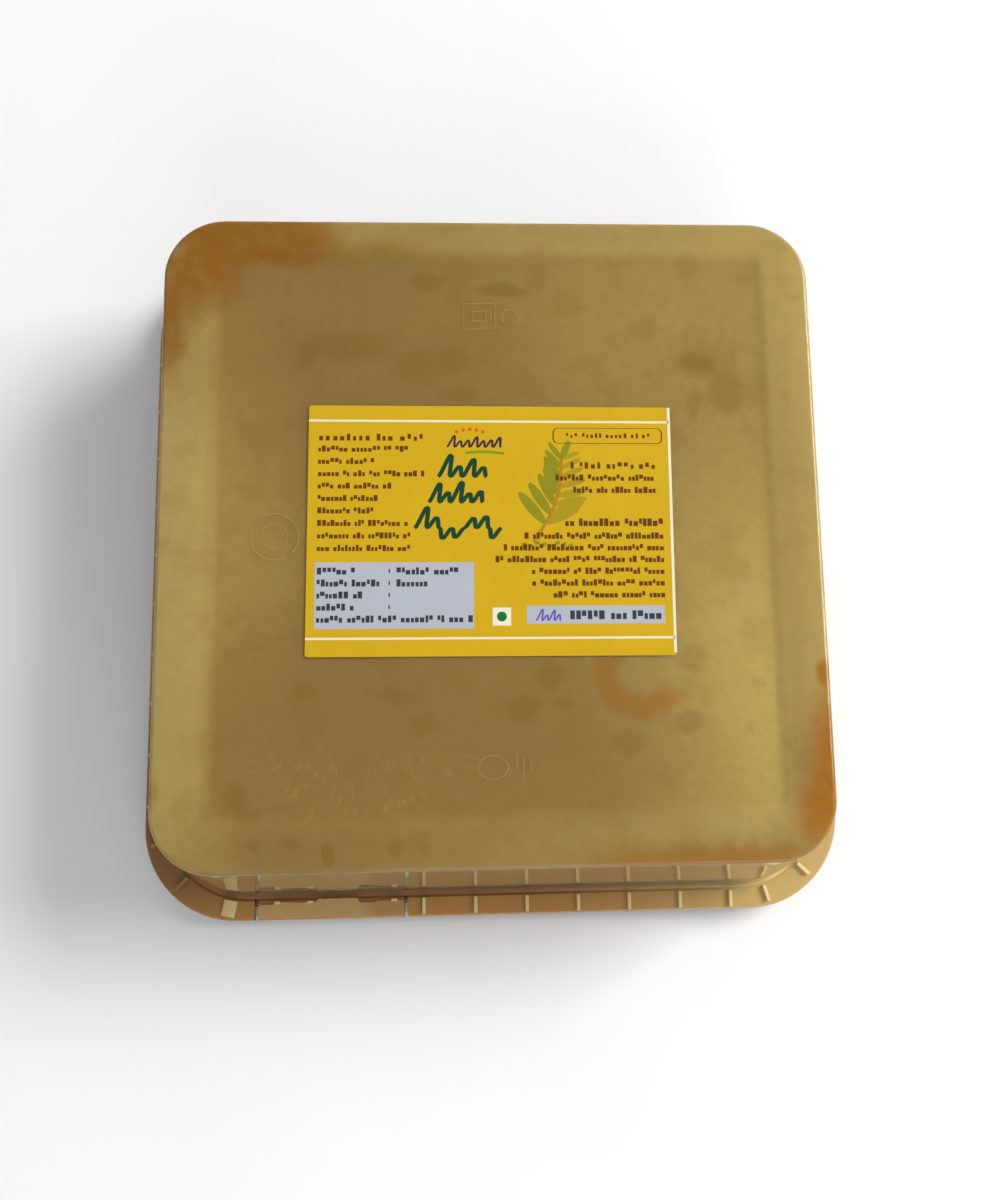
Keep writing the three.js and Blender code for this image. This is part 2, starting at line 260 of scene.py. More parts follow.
class Effects:
    """The shared effects. All of them work in millimetres."""

    def __init__(self) -> None:
        """Builds each group."""
        self.cloud = Recipe("soft cloud", self._cloud, Scale=0.05, Low=0.4, High=0.6, Detail=3.0)
        self.patch = Recipe("ragged patch", self._patch, Centre=NOWHERE, Radii=(5.0, 5.0, 5.0), Ragged=2.0,
                            Softness=0.3)
        self.ring = Recipe("ring stain", self._ring, Centre=NOWHERE, Radius=7.0, Width=1.5, Ragged=1.5)
        self.field = Recipe("inside a rectangle", self._field, Middle=NOWHERE, Reach=(50.0, 50.0, 1.0),
                            Softness=1.5)
        self.specks = Recipe("fine specks", self._specks, Scale=1.0, Size=0.2, Share=0.3)
        self.spokes = Recipe("fan of fine streaks", self._spokes, Centre=NOWHERE, Near=9.0, Far=25.0,
                             Count=26.0)
        self.wear = Recipe("fine scuffs", self._wear, Scale=0.6, Stretch=8.0)

    def stain(self, graph: Graph, point: Socket, spot: Stain) -> Socket:
        """Places a stain and returns its mask."""
        return self.patch.use(graph, point, Centre=(spot.x, spot.y, 0.0), Ragged=spot.ragged,
                              Radii=(spot.radius_x, spot.radius_y, 1.0), Softness=spot.softness)

    @staticmethod
    def _noise(graph: Graph, vector: Socket, **inputs: object) -> Socket:
        """Noise, as a value."""
        return graph.add("ShaderNodeTexNoise", Vector=vector, **inputs).outputs["Fac"]

    @classmethod
    def _cloud(cls, graph: Graph, ins: Sockets) -> Socket:
        """Broad soft noise between two levels.

        Args:
            graph: The group's nodes.
            ins: The group's inputs by name.

        Returns:
            The mask.
        """
        cloud = cls._noise(graph, ins["Point"], Scale=ins["Scale"], Detail=ins["Detail"], Roughness=0.5)
        return graph.ramp(cloud, ins["Low"], ins["High"])

    @staticmethod
    def _warped(graph: Graph, ins: Sockets) -> Socket:
        """The way from the centre to the point, pushed about by noise, from above.

        Args:
            graph: The group's nodes.
            ins: The group's inputs by name.

        Returns:
            The vector.
        """
        push = graph.add("ShaderNodeTexNoise", Vector=ins["Point"], Scale=0.22, Detail=3.0, Roughness=0.6)
        centred = graph.vector("SUBTRACT", push.outputs["Color"], (0.5, 0.5, 0.5))
        strength = graph.add("ShaderNodeCombineXYZ", X=ins["Ragged"], Y=ins["Ragged"], Z=0.0)
        moved = graph.vector("MULTIPLY", centred, strength.outputs[0])
        away = graph.vector("SUBTRACT", graph.vector("ADD", ins["Point"], moved), ins["Centre"])
        return graph.vector("MULTIPLY", away, FLAT)

    @classmethod
    def _patch(cls, graph: Graph, ins: Sockets) -> Socket:
        """An oval with a soft, uneven edge.

        Args:
            graph: The group's nodes.
            ins: The group's inputs by name.

        Returns:
            The mask.
        """
        away = cls._warped(graph, ins)
        distance = graph.vector("LENGTH", graph.vector("DIVIDE", away, ins["Radii"]))
        return graph.rest(graph.ramp(distance, graph.rest(ins["Softness"]),
                                     graph.math("ADD", 1.0, ins["Softness"])))

    @classmethod
    def _ring(cls, graph: Graph, ins: Sockets) -> Socket:
        """A soft ring.

        Args:
            graph: The group's nodes.
            ins: The group's inputs by name.

        Returns:
            The mask.
        """
        distance = graph.vector("LENGTH", cls._warped(graph, ins))
        off = graph.math("ABSOLUTE", graph.math("SUBTRACT", distance, ins["Radius"]))
        return graph.rest(graph.ramp(graph.math("DIVIDE", off, ins["Width"]), 0.3, 1.4))

    @staticmethod
    def _field(graph: Graph, ins: Sockets) -> Socket:
        """One inside an upright rectangle, falling off at its edge.

        Args:
            graph: The group's nodes.
            ins: The group's inputs by name.

        Returns:
            The mask.
        """
        away = graph.vector("ABSOLUTE", graph.vector("SUBTRACT", ins["Point"], ins["Middle"]))
        x, y, _ = graph.axes(graph.vector("SUBTRACT", away, ins["Reach"]))
        low = graph.times(ins["Softness"], -1.0)
        return graph.rest(graph.ramp(graph.math("MAXIMUM", x, y), low, ins["Softness"]))

    @staticmethod
    def _specks(graph: Graph, ins: Sockets) -> Socket:
        """Scattered dots, in a share of the cells.

        Args:
            graph: The group's nodes.
            ins: The group's inputs by name.

        Returns:
            The mask.
        """
        cells = graph.add("ShaderNodeTexVoronoi", Vector=ins["Point"], Scale=ins["Scale"])
        near = graph.math("LESS_THAN", cells.outputs["Distance"], ins["Size"])
        draw = graph.add("ShaderNodeSeparateColor", Color=cells.outputs["Color"])
        return graph.times(near, graph.math("LESS_THAN", draw.outputs[0], ins["Share"]))

    @classmethod
    def _spokes(cls, graph: Graph, ins: Sockets) -> Socket:
        """Short thin streaks that point away from a centre, on the side toward -Y.

        Args:
            graph: The group's nodes.
            ins: The group's inputs by name.

        Returns:
            The mask.
        """
        away = graph.vector("MULTIPLY", graph.vector("SUBTRACT", ins["Point"], ins["Centre"]), FLAT)
        x, y, _ = graph.axes(away)
        distance = graph.vector("LENGTH", away)
        polar = graph.add("ShaderNodeCombineXYZ", X=graph.times(graph.math("ARCTAN2", y, x), ins["Count"]),
                          Y=graph.times(distance, 0.45))
        streaks = cls._noise(graph, polar.outputs[0], Scale=1.0, Detail=0.0)
        inner = graph.ramp(distance, ins["Near"], graph.math("ADD", ins["Near"], 2.0))
        outer = graph.ramp(distance, ins["Far"], graph.math("SUBTRACT", ins["Far"], 3.0))
        return graph.times(graph.ramp(streaks, 0.6, 0.7), graph.ramp(y, -8.0, -13.0),
                           graph.times(inner, outer))

    @classmethod
    def _wear(cls, graph: Graph, ins: Sockets) -> Socket:
        """Long thin noise, as rubbing leaves on plastic.

        Args:
            graph: The group's nodes.
            ins: The group's inputs by name.

        Returns:
            The mask.
        """
        stretch = graph.add("ShaderNodeCombineXYZ", X=1.0, Y=ins["Stretch"], Z=1.0)
        turned = graph.add("ShaderNodeMapping", Vector=ins["Point"], Rotation=(0.0, 0.0, 0.6))
        longer = graph.vector("MULTIPLY", turned.outputs[0], stretch.outputs[0])
        return graph.ramp(cls._noise(graph, longer, Scale=ins["Scale"], Detail=4.0, Roughness=0.65),
                          0.55, 0.8)


# ---- finishes -----------------------------------------------------------------------


def start_material(name: str) -> tuple[Material, Graph, bpy.types.Node, Socket]:
    """Opens a material.

    Args:
        name: The material's name.

    Returns:
        The material, its nodes, its Principled shader, and the point on the piece in millimetres.
    """
    material = bpy.data.materials.new(name)
    material.use_nodes = True
    graph = Graph(material.node_tree)
    shader = material.node_tree.nodes["Principled BSDF"]
    place = graph.add("ShaderNodeTexCoord")
    scaled = graph.add("ShaderNodeVectorMath", {"operation": "SCALE"}, i0=place.outputs["Object"],
                       Scale=1 / MM)
    return material, graph, shader, scaled.outputs["Vector"]


def set_shader(shader: bpy.types.Node, **values: object) -> None:
    """Sets plain values on a shader's sockets, with underscores for spaces."""
    for key, value in values.items():
        shader.inputs[key.replace("_", " ")].default_value = value


@dataclass(frozen=True)
class HazyPlastic:
    """Moulded see-through plastic with a tint and a haze."""

    name: str
    tint: Colour
    clearness: float
    gloss_roughness: float
    scuffed_roughness: float
    etch_depth: float  # mm
    etch_scale: float  # per mm
    deep: Colour | None = None  # colour toward the left, where the plastic lies in its own shade
    deep_from: float = 66.0
    deep_to: float = -10.0
    patch: Stain | None = None  # a darker patch
    patch_colour: Colour = srgb(138, 88, 40)
    ior: float = 1.49

    def material(self, effects: Effects) -> Material:
        """Builds the plastic's material.

        Args:
            effects: The shared effects.

        Returns:
            The material.
        """
        material, graph, shader, point = start_material(self.name)
        scuffs = effects.wear.use(graph, point, Scale=0.35, Stretch=6.0)
        clouds = effects.cloud.use(graph, point, Scale=0.03, Low=0.3, High=0.7)
        dull = graph.times(scuffs, clouds)
        graph.feed(shader.inputs["Roughness"], graph.ramp(dull, 0.0, 1.0, self.gloss_roughness,
                                                          self.scuffed_roughness))
        colour = graph.blend(clouds, self.tint, tuple(channel * 0.93 for channel in self.tint))
        if self.deep:
            leftward = graph.ramp(graph.axes(point)[0], self.deep_from, self.deep_to)
            colour = graph.blend(leftward, colour, self.deep)
        if self.patch:
            share = graph.times(effects.stain(graph, point, self.patch), self.patch.strength)
            colour = graph.blend(share, colour, self.patch_colour)
        graph.feed(shader.inputs["Base Color"], colour)
        grain = graph.add("ShaderNodeTexNoise", Vector=point, Scale=self.etch_scale, Detail=2.0)
        graph.relief(shader, grain.outputs["Fac"], self.etch_depth, 0.5)
        set_shader(shader, Transmission_Weight=self.clearness, IOR=self.ior)
        return material


@dataclass(frozen=True)
class SetJaggery:
    """Set palm sugar seen through plastic: cloudy tan, with orange-brown wet patches, painted light from
    the right and painted shadows.
    """

    panel: tuple[float, float, float, float]  # mm, its low and high x and y
    free_top: float  # mm, the height under which the surface is the free one
    soft_side: float = 0.8  # mm, how far the dark field reaches past the panel on the left
    wet_down: float = 37.0  # mm, the height under which the wet patches fade away down the wall
    # shade is the panel's darker colour, also laid on as painted shadow; glow is its lighter colour, partly
    # painted light from the right.
    shade: Colour = srgb(171, 140, 80)
    glow: Colour = srgb(228, 208, 128)
    shoulder: Colour = srgb(212, 190, 122)
    mark: Colour = srgb(154, 112, 34)
    wet_left: Colour = srgb(173, 120, 26)
    wet_right: Colour = srgb(194, 128, 12)
    free: Colour = srgb(150, 100, 44)
    crystal: Colour = srgb(228, 198, 124)
    across: tuple[float, float] = (-30.0, 60.0)  # mm, from where to where the right side's light grows
    glow_right: float = 0.37
    glow_cloud: float = 0.12
    blot_share: float = 0.16
    fine_share: float = 0.1
    uneven: float = 0.18
    arc_share: float = 0.5
    arc_gap: Stain = Stain(34.0, -22.0, 8.0, 7.6, 1.0, 1.0, 0.3)  # where the arc is open
    streak_share: float = 0.12
    speck_share: float = 0.25
    # Paler patches blended toward glow: the broad one on the right is painted light, the one on the left a
    # paler stretch.
    lit_and_pale_patches: tuple[Stain, ...] = stains((50.0, -32.0, 20.0, 32.0, 0.5, 8.0, 0.9),
                                    (-50.0, 2.0, 12.0, 26.0, 0.3, 6.0, 0.9))
    wetting: tuple[Stain, ...] = stains(
        (-43, 57.8, 14, 6.2, 1.0, 5.0, 0.35), (-36, 54.0, 9, 3.2, 0.75, 5.0, 0.6),
        (-53.5, 52, 7.4, 9.2, 1.0, 5.0, 0.5), (-57.6, 53.4, 1.2, 1.6, -0.4, 3.0, 0.8),
        (-58.6, 39, 2.5, 8.4, 0.9, 4.0, 0.6), (-56.4, 42, 3.2, 5.0, 0.4, 4.0, 0.8),
        (-47.8, 44.8, 1.6, 2.8, 0.22, 2.5, 0.8), (-19.5, 54.2, 5, 2.0, 0.42, 3.0, 0.7),
        (59.2, -26.5, 1.7, 2.6, 0.9, 2.0), (60.2, -41, 3.8, 11, 1.0, 4.5, 0.6),
        (57.0, -51.6, 4.2, 5.6, 0.85, 3.5, 0.7), (45.5, -59.2, 6, 2.0, 0.4, 3.5, 0.8),
        (34, -59.6, 16, 2.2, 0.6, 3.0, 0.8))
    shadows: tuple[Stain, ...] = stains(
        (-6, -34, 34, 14, 0.72, 8.0, 0.9), (-24, 30, 24, 13, 0.43, 8.0, 0.9),
        (53.2, -2, 3.2, 52, 0.3, 1.0, 0.9), (22, -46, 20, 9, 0.45, 8.0, 0.9), (57, 4, 5, 20, 0.1, 4.0, 0.9),
        (0, 58, 34, 4.5, 0.3, 5.0, 0.8), (34, 58, 26, 4.0, 0.14, 4.0, 0.8), (-30, 52, 26, 7, 0.5, 6.0, 0.8),
        (-55, 35, 5, 10, 0.34, 4.0, 0.8))
    marks: tuple[Stain, ...] = stains(
        (-26.7, 35.3, 7, 3, 0.31), (-34, 33.3, 2, 2.5, 0.31, 3.0), (-13, 31.5, 5, 3, 0.28),
        (-5.7, 26.5, 3, 1.5, 0.31, 3.6), (14, 43.7, 3, 3, 0.15), (2, 46.5, 4.5, 1.4, 0.4, 3.0),
        (-12, 48, 3, 1.6, 0.35, 3.0), (-7, 33, 2.5, 3, 0.3, 3.5), (28.5, 38.8, 2.5, 2, 0.22, 3.0),
        (38.5, 32, 3.5, 2.5, 0.4, 3.0), (43.5, 27, 3, 4.5, 0.37, 3.0), (37.5, 24, 1.5, 3, 0.25, 3.6),
        (35.3, -23.7, 2.2, 2.6, 0.31, 3.6), (34.4, -34.9, 2.4, 2, 0.28, 3.6),
        (23.6, -38.3, 3, 2, 0.22, 3.6), (9.7, -26.5, 2.6, 2.6, 0.34, 3.6),
        (4.7, -32.2, 3.2, 2.2, 0.34, 3.6), (11.8, -31, 2, 1, 0.25, 1.5), (-12.9, -34.5, 2.5, 2, 0.28, 3.6),
        (-17.7, -29.6, 3, 1.5, 0.28, 3.6), (-33.4, -28.5, 2, 1.5, 0.31, 3.6),
        (-45.6, -47.2, 2.0, 2.6, 0.3, 4.6), (-43.4, -49.6, 2.2, 1.6, 0.22, 4.6),
        (-42, -55.1, 1, 1.3, 0.34, 2.0), (-35.6, -54.8, 1.8, 1, 0.31, 2.0),
        (-29.2, -56.8, 1.2, 1.8, 0.43, 2.0), (-17.7, -56, 1.5, 1.5, 0.34, 2.0),
        (-59.2, -46.2, 1, 2.5, 0.31, 2.0), (38, -58.4, 22, 2.8, 0.45, 4.0, 0.8),
        (56, -44, 4, 10, 0.3, 4.0, 0.8))

    def dab(self, graph: Graph, effects: Effects, point: Socket, spots: Iterable[Stain],
            colour: Socket, tint: object, mottle: object = 1.0) -> Socket:
        """Lays a set of patches over a colour. One of negative strength bares the colour again.

        Args:
            graph: The material's nodes.
            effects: The shared effects.
            point: The point on the piece, in millimetres.
            spots: The patches.
            colour: What they lie over.
            tint: Their own colour, plain or as a socket.
            mottle: How much of them shows, plain or as a socket.

        Returns:
            The new colour.
        """
        bare = colour
        for spot in spots:
            share = graph.times(effects.stain(graph, point, spot), abs(spot.strength), mottle)
            colour = graph.blend(share, colour, tint if spot.strength > 0 else bare)
        return colour

    def material(self, effects: Effects) -> Material:
        """Builds the jaggery's material.

        Args:
            effects: The shared effects.

        Returns:
            The material.
        """
        material, graph, shader, point = start_material("set jaggery")

        def cloud(scale: float, low: float, high: float, detail: float = 3.0) -> Socket:
            """Soft noise between two levels."""
            return effects.cloud.use(graph, point, Scale=scale, Low=low, High=high, Detail=detail)

        x, y, z = graph.axes(point)
        across = graph.ramp(x, *self.across)
        fine = cloud(0.5, 0.35, 0.7, 4.0)
        # The panel grows lighter toward the right, partly its own colour and partly painted light, with a
        # random cloud and the paler patches over it.
        light = graph.math("ADD", graph.times(across, self.glow_right),
                           graph.times(cloud(0.03, 0.35, 0.68), self.glow_cloud))
        for spot in self.lit_and_pale_patches:
            glow = graph.times(effects.stain(graph, point, spot), spot.strength)
            light = graph.math("ADD", light, glow, clamp=True)
        inside = graph.blend(light, self.shade, self.glow)
        left, front, right, back = self.panel
        left -= self.soft_side
        panel = effects.field.use(graph, point, Middle=((left + right) / 2, (front + back) / 2, 0.0),
                                  Reach=((right - left) / 2, (back - front) / 2, 1.0), Softness=1.6)
        low = graph.times(graph.ramp(y, -38.0, -56.0), graph.ramp(x, -68.0, -38.0))
        outside = graph.blend(graph.times(low, graph.math("SUBTRACT", 0.9, across)),
                              self.shoulder, self.shade)
        colour = graph.blend(panel, outside, inside)
        for mask, share in ((cloud(0.13, 0.52, 0.66, 2.0), self.blot_share), (fine, self.fine_share)):
            colour = graph.blend(graph.times(mask, share), colour, self.mark)
        colour = self.dab(graph, effects, point, self.shadows, colour, self.shade)
        colour = self.dab(graph, effects, point, self.marks, colour, self.mark)
        # The wet patches are real; their colour turns lighter toward the right along the same ramp, as
        # painted light.
        wet = graph.blend(across, self.wet_left, self.wet_right)
        uneven = graph.math("ADD", graph.times(cloud(0.3, 0.34, 0.6, 4.0), self.uneven), 1.0 - self.uneven)
        showing = graph.times(uneven, graph.ramp(z, self.free_top - 4.0, self.wet_down))
        colour = self.dab(graph, effects, point, self.wetting, colour, wet, showing)
        arc = effects.ring.use(graph, point, Centre=(25.9, -25.8, 0.0), Radius=6.4, Width=2.6)
        kept = graph.times(arc, graph.rest(effects.stain(graph, point, self.arc_gap)))
        colour = graph.blend(graph.times(kept, self.arc_share), colour, wet)
        streaks = effects.spokes.use(graph, point, Centre=(-24.0, -28.5, 0.0))
        specks = effects.specks.use(graph, point, Scale=1.3, Size=0.14, Share=0.2)
        for mask, share in ((streaks, self.streak_share), (specks, self.speck_share)):
            colour = graph.blend(graph.times(mask, share), colour, self.crystal)
        free = graph.ramp(z, self.free_top, self.free_top - 1.0)
        graph.feed(shader.inputs["Base Color"], graph.blend(free, colour, self.free))
        graph.feed(shader.inputs["Roughness"], graph.ramp(fine, 0.0, 1.0, 0.62, 0.45))
        lumps = graph.add("ShaderNodeTexNoise", Vector=point, Scale=0.9, Detail=4.0)
        graph.relief(shader, lumps.outputs["Fac"], 0.15, 0.4)
        set_shader(shader, Specular_IOR_Level=0.05)
        return material


@dataclass(frozen=True)
class PrintedFilm:
    """A flat coloured print with a faint mottle, as ink on a label has."""

    name: str
    colour: Colour
    roughness: float = 0.5
    mottle: float = 0.06
    gloss: float = 0.1

    def material(self, effects: Effects) -> Material:
        """Builds the print's material.

        Args:
            effects: The shared effects.

        Returns:
            The material.
        """
        material, graph, shader, point = start_material(self.name)
        clouds = effects.cloud.use(graph, point, Scale=0.12, Low=0.3, High=0.7)
        flecks = effects.specks.use(graph, point, Scale=2.2, Size=0.25, Share=0.3)
        faded = tuple(channel * 0.88 for channel in self.colour)
        worn = graph.math("MULTIPLY", graph.math("ADD", clouds, flecks), self.mottle * 4, clamp=True)
        graph.feed(shader.inputs["Base Color"], graph.blend(worn, self.colour, faded))
        graph.feed(shader.inputs["Roughness"], graph.ramp(clouds, 0.0, 1.0, self.roughness,
                                                          self.roughness + 0.12))
        weave = graph.add("ShaderNodeTexNoise", Vector=point, Scale=3.0, Detail=2.0)
        graph.relief(shader, weave.outputs["Fac"], 0.02, 0.3)
        set_shader(shader, Specular_IOR_Level=self.gloss)
        return material


# ---- mesh tools ---------------------------------------------------------------------


def of_kind(made: Iterable[object], kind: type) -> list:
    """Picks the vertices, edges or faces among all that an operator made."""
    return [item for item in made if isinstance(item, kind)]


def pull_up(bm: Mesh, faces: Iterable[Face], height: float) -> list[Vert]:
    """Extrudes faces upward and returns the corners at the new height.

    Args:
        bm: The mesh.
        faces: The faces.
        height: How far they go, in the mesh's own unit.

    Returns:
        The new corners.
    """
    verts = of_kind(bmesh.ops.extrude_face_region(bm, geom=list(faces))["geom"], Vert)
    bmesh.ops.translate(bm, vec=(0, 0, height), verts=verts)
    return verts


def bevel(bm: Mesh, geom: Iterable[object], width: float, segments: int, affect: str = "EDGES") -> None:
    """Rounds edges or corners of a mesh."""
    bmesh.ops.bevel(bm, geom=list(geom), offset=width, segments=segments, affect=affect,
                    profile=0.5, material=-1)


def turned(radians: float) -> Matrix:
    """A turn about Z."""
    return Matrix.Rotation(radians, 4, "Z")


@dataclass(frozen=True)
class Level:
    """One level of a loft: a rectangle with round corners, in millimetres."""

    low: tuple[float, float]
    high: tuple[float, float]
    corner: float
    z: float
    zone: int = 0  # material of the band that ends at this level

    @classmethod
    def square(cls, half: float, corner: float, z: float, zone: int = 0) -> "Level":
        """A level that is a square round the origin."""
        return cls((-half, -half), (half, half), corner, z, zone)

    def grown(self, outward: float, z: float, zone: int = 0) -> "Level":
        """A level that runs parallel to this one, a distance outside it.

        Args:
            outward: The distance, negative for inside.
            z: The height.
            zone: The band's material.

        Returns:
            The level.
        """
        low = (self.low[0] - outward, self.low[1] - outward)
        high = (self.high[0] + outward, self.high[1] + outward)
        return Level(low, high, self.corner + outward, z, zone)

    def core(self) -> tuple[Vector, Vector]:
        """The lowest and highest of the corners' centres, in metres.

        Returns:
            The two centres.
        """
        low = Vector((self.low[0] + self.corner, self.low[1] + self.corner)) * MM
        high = Vector((self.high[0] - self.corner, self.high[1] - self.corner)) * MM
        return low, high

    def carry(self, position: Vector, new: "Level") -> Vector:
        """Moves a point of this outline to the matching point of another one.

        Args:
            position: The point, in metres.
            new: The level it goes to.

        Returns:
            The new point, in metres.
        """
        (low, high), (new_low, new_high) = self.core(), new.core()
        near = Vector(max(low[i], min(high[i], position[i])) for i in range(2))
        outward = (position.xy - near).normalized()
        share = [(near[i] - low[i]) / (high[i] - low[i]) for i in range(2)]
        moved = [new_low[i] + share[i] * (new_high[i] - new_low[i]) for i in range(2)]
        return (Vector(moved) + outward * new.corner * MM).to_3d() + Vector((0, 0, new.z * MM))


class Loft:
    """A closed skin pulled through rounded squares, one level after another."""

    CORNER_STEPS = 16
    SIDE_STEPS = 24
    START_CORNER = 0.2  # of the square that the outline starts as, which reaches one metre each way

    def __init__(self, first: Level) -> None:
        """Starts with a flat face at the first level.

        Args:
            first: The level.
        """
        self.bm = bmesh.new()
        self.level = first
        bmesh.ops.create_grid(self.bm, x_segments=1, y_segments=1, size=1.0)
        bevel(self.bm, self.bm.verts, self.START_CORNER, self.CORNER_STEPS, "VERTICES")
        sides = [edge for edge in self.bm.edges if edge.calc_length() > 1.0]
        bmesh.ops.subdivide_edges(self.bm, edges=sides, cuts=self.SIDE_STEPS - 1)
        plain = Level.square(1 / MM, self.START_CORNER / MM, 0.0)
        for vert in self.bm.verts:
            vert.co = plain.carry(vert.co, first)
        self.rim = self.bm.edges[:]
        self.bm.faces.ensure_lookup_table()
        self.bm.faces[0].material_index = first.zone

    def to(self, *levels: Level) -> None:
        """Pulls the open rim on to the next levels in turn.

        Args:
            *levels: The levels, in order.
        """
        for level in levels:
            made = bmesh.ops.extrude_edge_only(self.bm, edges=self.rim)["geom"]
            new = set(of_kind(made, Vert))
            for vert in new:
                vert.co = self.level.carry(vert.co, level)
            for face in of_kind(made, Face):
                face.material_index = level.zone
            self.rim = [edge for edge in of_kind(made, Edge) if set(edge.verts) <= new]
            self.level = level

    def close(self) -> Mesh:
        """Fills the open rim and returns the closed skin, facing outward.

        Returns:
            The skin.
        """
        bmesh.ops.holes_fill(self.bm, edges=self.rim, sides=0)
        bmesh.ops.recalc_face_normals(self.bm, faces=self.bm.faces)
        return self.bm


def round_levels(outline: Callable[[float, float], Level], outward: float, z: float, radius: float,
                 start: float, end: float, steps: int = 5) -> list[Level]:
    """Levels that round an edge.

    Args:
        outline: Makes a level from a distance outside the base and a height.
        outward: The rounding's centre, as a distance outside the base.
        z: The height of that centre.
        radius: The rounding's radius.
        start: First angle in degrees, 0 pointing outward and 90 up.
        end: Last angle.
        steps: Number of facets.

    Returns:
        The levels in order.
    """
    angles = [math.radians(start + (end - start) * i / steps) for i in range(steps + 1)]
    return [outline(outward + radius * math.cos(a), z + radius * math.sin(a)) for a in angles]


def block(bm: Mesh, size: Sequence[float], place: Matrix, rounding: float = 0.0) -> None:
    """Adds a small bevelled block to a mesh.

    Args:
        bm: The mesh.
        size: Width, depth and height in millimetres.
        place: Where the block's middle goes, with lengths in millimetres.
        rounding: Bevel width in millimetres, or 0 for sharp edges.
    """
    made = bmesh.ops.create_cube(bm, size=1.0, matrix=place @ Matrix.Diagonal((*size, 1.0)))
    if rounding > 0:
        bevel(bm, {edge for vert in made["verts"] for edge in vert.link_edges}, rounding, 2)


def to_metres(bm: Mesh) -> Mesh:
    """Scales a mesh that was made in millimetres."""
    bmesh.ops.scale(bm, vec=(MM, MM, MM), verts=bm.verts)
    return bm


def make_object(name: str, bm: Mesh, materials: Iterable[Material]) -> Piece:
    """Turns a mesh under construction into an object with smooth faces and sharp creases.

    Args:
        name: The object's name.
        bm: The mesh, in metres, which is used up.
        materials: Its materials, in the order of the face indices.

    Returns:
        The object.
    """
    for face in bm.faces:
        face.smooth = True
    for edge in bm.edges:
        edge.smooth = edge.is_manifold and edge.calc_face_angle(math.pi) < math.radians(SHARP_DEGREES)
    mesh = bpy.data.meshes.new(name)
    bm.to_mesh(mesh)
    bm.free()
    for material in materials:
        mesh.materials.append(material)
    piece = bpy.data.objects.new(name, mesh)
    bpy.context.scene.collection.objects.link(piece)
    return piece


def apply_modifiers(piece: Piece) -> None:
    """Bakes a piece's modifiers into its mesh.

    Args:
        piece: The piece.
    """
    graph = bpy.context.evaluated_depsgraph_get()
    baked = bpy.data.meshes.new_from_object(piece.evaluated_get(graph), depsgraph=graph)
    piece.modifiers.clear()
    piece.data = baked


def combine(piece: Piece, tool: Piece, operation: str) -> None:
    """Joins or cuts a piece with another one, which is used up.

    Args:
        piece: The piece that stays.
        tool: The other one.
        operation: UNION or DIFFERENCE.
    """
    step = piece.modifiers.new(operation.lower(), "BOOLEAN")
    step.object = tool
    step.operation = operation
    step.solver = "MANIFOLD"
    apply_modifiers(piece)
    bpy.data.objects.remove(tool)


def soften(piece: Piece) -> None:
    """Marks sharp edges and weights the normals by face size, so that flat stretches look flat.

    Args:
        piece: The piece.
    """
    piece.data.set_sharp_from_angle(angle=math.radians(SHARP_DEGREES))
    step = piece.modifiers.new("even normals", "WEIGHTED_NORMAL")
    step.keep_sharp = True
    step.weight = 80
    apply_modifiers(piece)


def settle(piece: Piece, slot: str, *nodes: str) -> Piece:
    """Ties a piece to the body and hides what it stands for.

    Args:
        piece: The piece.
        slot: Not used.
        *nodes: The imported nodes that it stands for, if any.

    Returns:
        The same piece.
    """
    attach(piece, BODY)
    if nodes:
        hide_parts(*nodes)
    LOG.info("%s: %d faces", piece.name, len(piece.data.polygons))
    return piece


# ---- the tub ------------------------------------------------------------------------


class Zone(Enum):
    """Stretches of the tub's plastic that are finished differently."""

    BASE = 0
    WALL = 1
    FLANGE = 2
    RIB = 3
    TAB = 4
    CREASE = 5
    SLOT = 6
    MARK = 7


